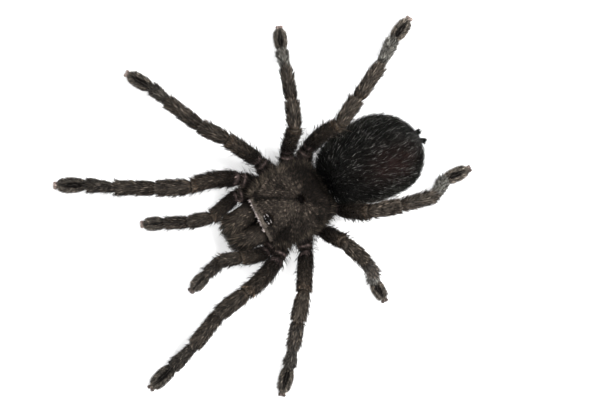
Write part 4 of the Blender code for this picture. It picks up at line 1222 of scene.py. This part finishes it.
def pale_coat(rng):
    """Thin pale hairs scattered over the black ones, and the hair of the spinnerets."""
    hairs = Hairs("coat_abdomen_pale", rng)
    count = COUNTS["pale"]
    share, angle = abdomen_roots(count, rng)
    normals, ways = surface_frame(abdomen_point, share, angle)
    side_on = 1 - 0.35 * np.cos(angle) ** 2
    sparse = 1 - 0.55 * ramp(share, 0.45, -0.2) * clamp(np.sin(angle) * 1.5)
    bright = 0.02 + 0.95 * rng.uniform(0, 1, count) ** (5.0 / sparse) * side_on
    places = turn_places(share, angle)
    hairs.add(abdomen_point(share, angle), normals, ways, PALE_HAIR, tones(PALE, bright), places, 0.3, 0.2)
    for side in (-1, 1):
        add_spinneret_hair(hairs, side, rng)
    return hairs.build()


def add_spinneret_hair(hairs, side, rng):
    """Short black hair on a spinneret."""
    n = COUNTS["spinneret"]
    path = spinneret_path(side)
    at = np.floor(rng.uniform(0.3, 0.98, n) * (len(path) - 1)).astype(int)
    turn = rng.uniform(0, 2 * math.pi, n)
    ahead, wide, tall = (vectors[at] for vectors in path_frame(path))
    normals = wide * np.cos(turn)[:, None] + tall * np.sin(turn)[:, None]
    roots = path[at] + normals * SPINNERET_RADIUS * 0.6
    places = np.stack((np.full(n, 0.97), 0.2 + 0.1 * turn / 7), axis=-1)
    hairs.add(roots, normals, ahead, SPINNERET_HAIR, tones(ABDOMEN_BLACK, np.full(n, 1.4)), places)


def carapace_coat(rng):
    """Fine flat hair that radiates from the fovea, and the fringe round the margin."""
    hairs = Hairs("coat_carapace", rng)
    length, width, lift, droop = CARAPACE_HAIR
    count = COUNTS["carapace"]
    x = rng.uniform(-CARAPACE_HALF_WIDTH, CARAPACE_HALF_WIDTH, count * 2)
    y = rng.uniform(-CARAPACE_FRONT, CARAPACE_REAR, count * 2)
    # A hair must not start on the eye mound, nor lie over it with its tip.
    before = 1 - 0.8 * length / fovea_distance(x, y)
    over = mound_distance(FOVEA[0] + (x - FOVEA[0]) / before, FOVEA[1] + (y - FOVEA[1]) / before)
    open_pit = spot(x, y, FOVEA, FOVEA_SIZE) > rng.uniform(0.15, 0.7, len(x))
    keep = (outline_reach(x, y) < 0.99) & ~open_pit & (mound_distance(x, y) > 1.2) & (over > 1.05)
    keep &= behind_front(x, y) > 0.1
    x, y = x[keep][:count], y[keep][:count]
    normals = carapace_normal(x, y)
    out = unit(np.stack((x - FOVEA[0], y - FOVEA[1], np.zeros(len(x))), axis=-1))
    strip = behind_front(x, y) < FRONT_STRIP + 0.1
    out[strip] = (0.0, -1.0, 0.0)
    ways = unit(out - normals * (out * normals).sum(axis=-1, keepdims=True))
    # The hairs take the carapace's colours, its painted shade and shadow included.
    colour, _ = carapace_markings(x, y)
    turn = np.arctan2(y - FOVEA[1], x - FOVEA[0])
    strands = streak(fovea_distance(x, y), turn, 9.0, 2.0, 1.4)
    colour = colour * np.where(strip[:, None], 1.0, strands)
    roots = body_point(x, y, CARAPACE_BASE_Z + carapace_height(x, y))
    form = (np.where(strip, 0.5, length), width, lift, droop)
    hairs.add(roots, normals, ways, form, colour, plan_places(x, y), np.where(strip, 0.6, 1.15),
              np.where(strip, 0.1, 0.4))
    add_fringe(hairs, rng)
    add_beads(hairs, rng)
    return hairs.build()


def add_fringe(hairs, rng):
    """Curved golden-brown hair round the margin, and a short pale fringe over the front edge."""
    count = COUNTS["fringe"]
    angle = rng.uniform(-math.pi, math.pi, count)
    x, y = edge_points(angle, rng.uniform(0.1, 1.4, count))
    front = (behind_front(x, y) < 1.5) & (x > STRIP_SPAN[0]) & (x < STRIP_SPAN[1])
    right_front = (x < -3.0) & (y < 3.0) & ~front
    swept = np.sign(np.cos(angle)) * rng.uniform(0.0, 1.1, count) * np.where(right_front, 2.0, 1.0)
    ways = np.stack((np.cos(angle) - swept * np.sin(angle), np.sin(angle) + swept * np.cos(angle),
                     np.full(count, -0.05)), axis=-1)
    ways = unit(ways)
    ways[front] = (0.0, -1.0, -0.25)
    normals = np.tile((0.0, 0.0, 1.0), (count, 1))
    normals = unit(normals - ways * (normals * ways).sum(axis=-1, keepdims=True))
    roots = body_point(x, y, CARAPACE_BASE_Z + carapace_height(x, y) - 0.1)
    dark = rng.uniform(0, 1, (count, 1)) < np.where(right_front, 0.2, 0.6)[:, None]
    margin = np.where(dark, tones(LEG_BASE, 1.6), FRINGE_GOLD)
    colour = np.where(front[:, None], FRONT_TAN, margin)
    length = np.where(front, 0.45, 2.4) + 0.5 * right_front
    hairs.add(roots, normals, ways, (length, 0.13, 26, 34), colour, plan_places(x, y), sway=0.4)


def add_beads(hairs, rng):
    """Small stubby pale hairs in a row along the front edge."""
    count = COUNTS["bead"]
    x = np.linspace(*BEAD_SPAN, count) + rng.normal(0, 0.06, count)
    y = -CARAPACE_FRONT - FRONT_TILT * x + rng.uniform(0.0, 0.2, count)
    ways = np.tile((0.0, -1.0, 0.0), (count, 1))
    normals = np.tile((0.0, 0.0, 1.0), (count, 1))
    roots = body_point(x, y, CARAPACE_BASE_Z + carapace_height(x, y + 0.3) + 0.1)
    colour = np.asarray(BEAD) * rng.uniform(0.35, 1.15, (count, 1)) ** 1.5
    form = (rng.uniform(0.6, 1.1, count), 0.3, 6, 20)
    hairs.add(roots, normals, ways, form, colour, plan_places(x, y), 0.2, 0.25)


def jaw_coat(side, rng):
    """Hair that runs forward over a chelicera, longest at its front end."""
    hairs = Hairs(f"coat_chelicera_{'left' if side > 0 else 'right'}", rng)
    count = COUNTS["jaw"]

    def point(share, angle):
        return chelicera_point(side, share, angle)

    share, angle = rng.uniform(0, 1, count), rng.uniform(-math.pi, math.pi, count)
    normals, ways = surface_frame(point, share, angle)
    across = point(share, angle) - point(share, angle + math.pi)
    normals = normals * np.sign((normals * across).sum(-1))[:, None]
    # The hairs take the chelicera's colours, its painted shade included.
    colour, _ = chelicera_markings(side, share, angle)
    front = ramp(share, 0.42, 0.3)
    pale = rng.uniform(0, 1, count) < 0.03 + 0.22 * front
    colour = np.where(pale[:, None], tones(FRINGE_GOLD, 1.9), colour)
    fan = np.stack((np.cos(angle) * 0.45, np.zeros(count), np.zeros(count)), axis=-1)
    ways = unit(ways + fan * front[:, None])
    form = (1.0 + 1.9 * front + 0.6 * pale, np.where(pale, 0.14, 0.17), 20 + 12 * front, 14)
    hairs.add(point(share, angle), normals, ways, form, colour, turn_places(share, angle), 1.0, 0.22)
    return hairs.build()


def underbody_coat(rng):
    """Short dark hair on the wall and the breastplate."""
    hairs = Hairs("coat_underbody", rng)
    count = COUNTS["underbody"]
    angle = rng.uniform(-math.pi, math.pi, count)
    x, y, z = underbody_wall(angle, rng.uniform(1.0, 5.0, count))
    down = ramp(z, 7.4, -2.2)[:, None]
    out = np.stack((np.cos(angle), np.sin(angle), np.zeros(count)), axis=-1)
    normals = unit(out * (1 - down) + np.array((0.0, 0.0, -1.0)) * down)
    ways = unit(np.cross(normals, np.cross(np.tile((0.0, 1.0, -0.3), (count, 1)), normals)))
    colour = tones(UNDERSIDE, np.ones(count))
    hairs.add(body_point(x, y, z), normals, ways, UNDERBODY_HAIR, colour, plan_places(x, y))
    return hairs.build()


def joined(name, shells):
    """One object from several closed pieces that don't need fusing."""
    points, faces, base = [], [], 0
    for shell in shells:
        points.append(shell.points)
        faces += [[i + base for i in face] for face in shell.faces]
        base += len(shell.points)
    obj = mesh_object(name, np.concatenate(points), faces)
    obj.data.shade_smooth()
    return obj


def round_shell(centre, sizes, sides, profile):
    """A closed round form of level rings, from rows of each ring's reach and height (1 at its ends)."""
    angles = full_turn(sides)
    rings = []
    for reach, height in profile:
        ring = np.stack((np.cos(angles) * sizes[0] * reach, np.sin(angles) * sizes[1] * reach,
                         np.full(sides, height * sizes[2])), axis=-1)
        rings.append(centre + ring)
    return plain_shell(rings, SLOT, 1.0)


def mound_object():
    """The mound of bare cuticle that carries the eyes: a dome."""
    centre = body_point(*MOUND_CENTRE, MOUND_BASE_Z)
    rises = np.linspace(-0.35, 0.995, 22)
    profile = [(math.sqrt(1 - max(rise, 0.0) ** MOUND_ROUNDNESS), rise) for rise in rises]
    return joined("eye_mound_cuticle", [round_shell(centre, (*MOUND_RADIUS, MOUND_HEIGHT), 48, profile)])


def eyes_object(name, places):
    """Some of the eight eyes, which stand in two rows, sunk to their middle in the mound."""
    centre = body_point(*MOUND_CENTRE, MOUND_BASE_Z)
    ball = [(math.sin(tilt), math.cos(tilt)) for tilt in np.linspace(0.06, math.pi - 0.06, 14)]
    balls = []
    for side in (-1, 1):
        for x, y, long, short in places:
            reach = min(0.98, math.hypot(x / MOUND_RADIUS[0], y / MOUND_RADIUS[1]))
            rise = (1 - reach**2) ** (1 / MOUND_ROUNDNESS) * MOUND_HEIGHT
            place = centre + np.array((side * x, y, rise * 0.97))
            balls.append(round_shell(place, (long, short, (long + short) / 2.3), 28, ball))
    return joined(name, balls)


def fang_shell(side):
    """A curved fang, folded back under its chelicera."""
    wide, tall = CHELICERA_HALF_WIDTH * 0.76, CHELICERA_HALF_HEIGHT * 0.78
    under = CHELICERA_Z - CHELICERA_DROP * FANG_HINGE**1.5 - tall
    hinge_y = -(CHELICERA_START + CHELICERA_LENGTH * FANG_HINGE)
    hinge = body_point(side * wide + CHELICERA_SHIFT, hinge_y, under + 0.1)
    inward = np.array((-side * 0.6, 0.0, 0.0))
    tip = hinge + inward * 2 + np.array((0.0, FANG_LENGTH, -0.6))
    down = hinge + np.array((0, -0.4, -2.5))
    path = bezier([hinge, down, hinge + inward + np.array((0, 4.0, -2.8)), tip], 30)
    radii = FANG_RADIUS * (1 - 0.95 * np.linspace(0, 1, 30) ** 1.4)
    return plain_shell(tube_rings(path, radii, 20), SLOT, 1.0)


def claw_shells(limb):
    """Two small hooked claws between the lobes of the toe tuft."""
    segment = limb.segments[-1]
    radii = CLAW_RADIUS * (1 - 0.85 * np.linspace(0, 1, 10))
    shells = []
    for side in (-1, 1):
        start = segment.end - segment.axis * 0.5 + segment.dorsal * 0.25 + segment.side * side * 0.16
        reach = segment.axis * 0.75 + segment.side * side * 0.1
        hook = start + reach * 1.7 - segment.dorsal * 0.3
        path = bezier([start, start + reach + segment.dorsal * 0.35, hook], 10)
        path[:, 2] = np.maximum(path[:, 2], 0.2)
        shells.append(plain_shell(tube_rings(path, radii, 8), SLOT, 1.0))
    return shells


def nodes_of(name):
    """A new material with its nodes, links and shader."""
    made = bpy.data.materials.new(name)
    made.use_nodes = True
    tree = made.node_tree
    return made, tree, tree.nodes["Principled BSDF"]


def put(socket, value):
    """Sets the socket's own value."""
    socket.default_value = value


def attribute(tree, name):
    """Reads one of the values stored on the mesh."""
    node = tree.nodes.new("ShaderNodeAttribute")
    node.attribute_name = name
    return node


def streaks(tree, source, squeeze, scale, detail):
    """Noise drawn out along the lie."""
    mapping = tree.nodes.new("ShaderNodeMapping")
    put(mapping.inputs["Scale"], squeeze)
    noise = tree.nodes.new("ShaderNodeTexNoise")
    put(noise.inputs["Scale"], scale)
    put(noise.inputs["Detail"], detail)
    tree.links.new(source, mapping.inputs["Vector"])
    tree.links.new(mapping.outputs["Vector"], noise.inputs["Vector"])
    return noise.outputs["Fac"]


def even_noise(tree, scale, detail):
    """Noise that is the same in all directions, over the object's own coordinates."""
    place = tree.nodes.new("ShaderNodeTexCoord")
    return streaks(tree, place.outputs["Object"], (1.0, 1.0, 1.0), scale, detail)


def ranged(tree, value, low, high):
    """Turns a value from 0 to 1 into one from low to high."""
    node = tree.nodes.new("ShaderNodeMapRange")
    put(node.inputs["To Min"], low)
    put(node.inputs["To Max"], high)
    tree.links.new(value, node.inputs["Value"])
    return node.outputs["Result"]


def scaled_colour(tree, colour, factor):
    """The colour made lighter or darker by a factor."""
    node = tree.nodes.new("ShaderNodeVectorMath")
    node.operation = "SCALE"
    tree.links.new(colour, node.inputs[0])
    tree.links.new(factor, node.inputs["Scale"])
    return node.outputs["Vector"]


def ramp_colour(tree, value, low, high, shader):
    """Gives the shader a base colour between two."""
    node = tree.nodes.new("ShaderNodeValToRGB")
    node.color_ramp.elements[0].color = (*low, 1)
    node.color_ramp.elements[1].color = (*high, 1)
    tree.links.new(value, node.inputs["Fac"])
    tree.links.new(node.outputs["Color"], shader.inputs["Base Color"])


def skin_material():
    """Cuticle under a nap of very short hair: streaks along the lie in colour and height."""
    made, tree, shader = nodes_of("skin")
    lie = attribute(tree, "lie").outputs["Vector"]
    nap = streaks(tree, lie, (0.5, 3.0, 3.0), 2.2, 4)
    blotch = streaks(tree, lie, (1.0, 1.0, 1.0), 0.35, 3)
    first = scaled_colour(tree, attribute(tree, "markings").outputs["Color"], ranged(tree, nap, 0.55, 1.5))
    colour = scaled_colour(tree, first, ranged(tree, blotch, 0.75, 1.25))
    tree.links.new(colour, shader.inputs["Base Color"])
    rough = ranged(tree, attribute(tree, "bare").outputs["Fac"], 0.7, 0.62)
    tree.links.new(rough, shader.inputs["Roughness"])
    relief = tree.nodes.new("ShaderNodeBump")
    put(relief.inputs["Strength"], 0.55)
    put(relief.inputs["Distance"], 0.00012)
    tree.links.new(nap, relief.inputs["Height"])
    tree.links.new(relief.outputs["Normal"], shader.inputs["Normal"])
    put(shader.inputs["Specular IOR Level"], 0.02)
    return made


def coat_material(name, gloss):
    """Hair: the markings' colour, a little gloss, and variation from tuft to tuft."""
    made, tree, shader = nodes_of(name)
    patchy = ranged(tree, even_noise(tree, 420, 3), 0.6, 1.45)
    colour = scaled_colour(tree, attribute(tree, "markings").outputs["Color"], patchy)
    tree.links.new(colour, shader.inputs["Base Color"])
    put(shader.inputs["Roughness"], 0.5)
    put(shader.inputs["Specular IOR Level"], gloss)
    return made


def gloss_material(name, colour, roughness, gloss, coat):
    """Bare shell: deep colour with faint mottling under a clear gloss."""
    made, tree, shader = nodes_of(name)
    mottle = even_noise(tree, 900, 4)
    ramp_colour(tree, mottle, [c * 0.6 for c in colour], [c * 1.6 for c in colour], shader)
    tree.links.new(ranged(tree, mottle, roughness * 0.8, roughness * 1.3), shader.inputs["Roughness"])
    put(shader.inputs["Specular IOR Level"], gloss)
    put(shader.inputs["Coat Weight"], coat)
    put(shader.inputs["Coat Roughness"], 0.05)
    return made


def add_floor():
    """A white floor with a faint grain and a little light of its own."""
    bpy.ops.mesh.primitive_plane_add(size=FLOOR_SIZE, location=(0, 0, 0))
    floor = bpy.context.object
    floor.name = "floor"
    made, tree, shader = nodes_of("floor")
    ramp_colour(tree, even_noise(tree, 40, 3), *FLOOR_GREYS, shader)
    put(shader.inputs["Roughness"], 0.8)
    put(shader.inputs["Emission Color"], WHITE)
    put(shader.inputs["Emission Strength"], FLOOR_GLOW)
    floor.data.materials.append(made)


def add_lights():
    """An even white sky and two soft lights that point at the animal."""
    scene = bpy.context.scene
    scene.world = scene.world or bpy.data.worlds.new("studio")
    scene.world.use_nodes = True
    sky = scene.world.node_tree.nodes["Background"]
    put(sky.inputs["Color"], WHITE)
    put(sky.inputs["Strength"], SKY_STRENGTH)
    for place, size, power in SOFTBOXES:
        light = bpy.data.lights.new("softbox", "AREA")
        light.shape = "SQUARE"
        light.size = size
        light.energy = power
        lamp = linked("softbox", light)
        lamp.location = place
        x, y, z = place
        lamp.rotation_euler = (math.atan2(math.hypot(x, y), z), 0.0, math.atan2(-y, -x) - math.pi / 2)


def add_camera():
    """The photograph's camera."""
    camera = bpy.data.cameras.new("camera")
    camera.lens = CAMERA_LENS
    camera.sensor_width = CAMERA_SENSOR
    camera.clip_end = 20.0
    eye = linked("camera", camera)
    x, y = BODY_X + CAMERA_FROM_BODY[0], BODY_Y + CAMERA_FROM_BODY[1]
    eye.location = (x * MM, y * MM, CAMERA_HEIGHT * MM)
    eye.rotation_euler = (0.0, 0.0, math.radians(CAMERA_TURN))
    bpy.context.scene.camera = eye
    bpy.context.scene.view_settings.view_transform = "Standard"


def dress(obj, material):
    """Gives a piece its material and the body that it rides on."""
    obj.data.materials.clear()
    obj.data.materials.append(material)
    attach(obj, "root")
    return obj


def main():
    """Makes the studio, the skin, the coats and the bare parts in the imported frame."""
    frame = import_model()
    add_floor()
    add_lights()
    add_camera()
    rng = np.random.default_rng(SEED)
    limbs = [Limb(name) for name in POSE]
    shells = [underbody_shell(), carapace_shell(), abdomen_shell(), pedicel_shell()]
    shells += [chelicera_shell(side) for side in (-1, 1)]
    shells += [spinneret_shell(side) for side in (-1, 1)]
    shells += [limb.shell() for limb in limbs]
    skin = dress(skin_object(shells), skin_material())
    separate = ("eye_mound", "fang_left", "fang_right")
    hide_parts(*[name for name in frame["nodes"] if name not in separate])

    coat = coat_material("coat", 0.12)
    for limb in limbs:
        dress(limb_coat(limb, rng), coat)
    dress(carapace_coat(rng), coat)
    velvet = coat_material("velvet", 0.05)
    dress(abdomen_coat(rng), velvet)
    dress(pale_coat(rng), velvet)
    dress(underbody_coat(rng), coat)
    for side in (-1, 1):
        dress(jaw_coat(side, rng), coat)

    cuticle = gloss_material("cuticle", *CUTICLE)
    mound = dress(mound_object(), cuticle)
    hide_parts("eye_mound")
    dress(eyes_object("eyes_front", EYES[:1]), gloss_material("dark_eye", *DARK_EYE))
    dress(eyes_object("eyes_pale", EYES[1:]), gloss_material("pale_eye", *PALE_EYE))
    fangs = joined("fangs", [fang_shell(side) for side in (-1, 1)])
    dress(fangs, gloss_material("fangs", *FANG_SHELL))
    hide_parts("fang_left", "fang_right")
    claws = [shell for limb in limbs for shell in claw_shells(limb)]
    dress(joined("claws", claws), cuticle)


main()
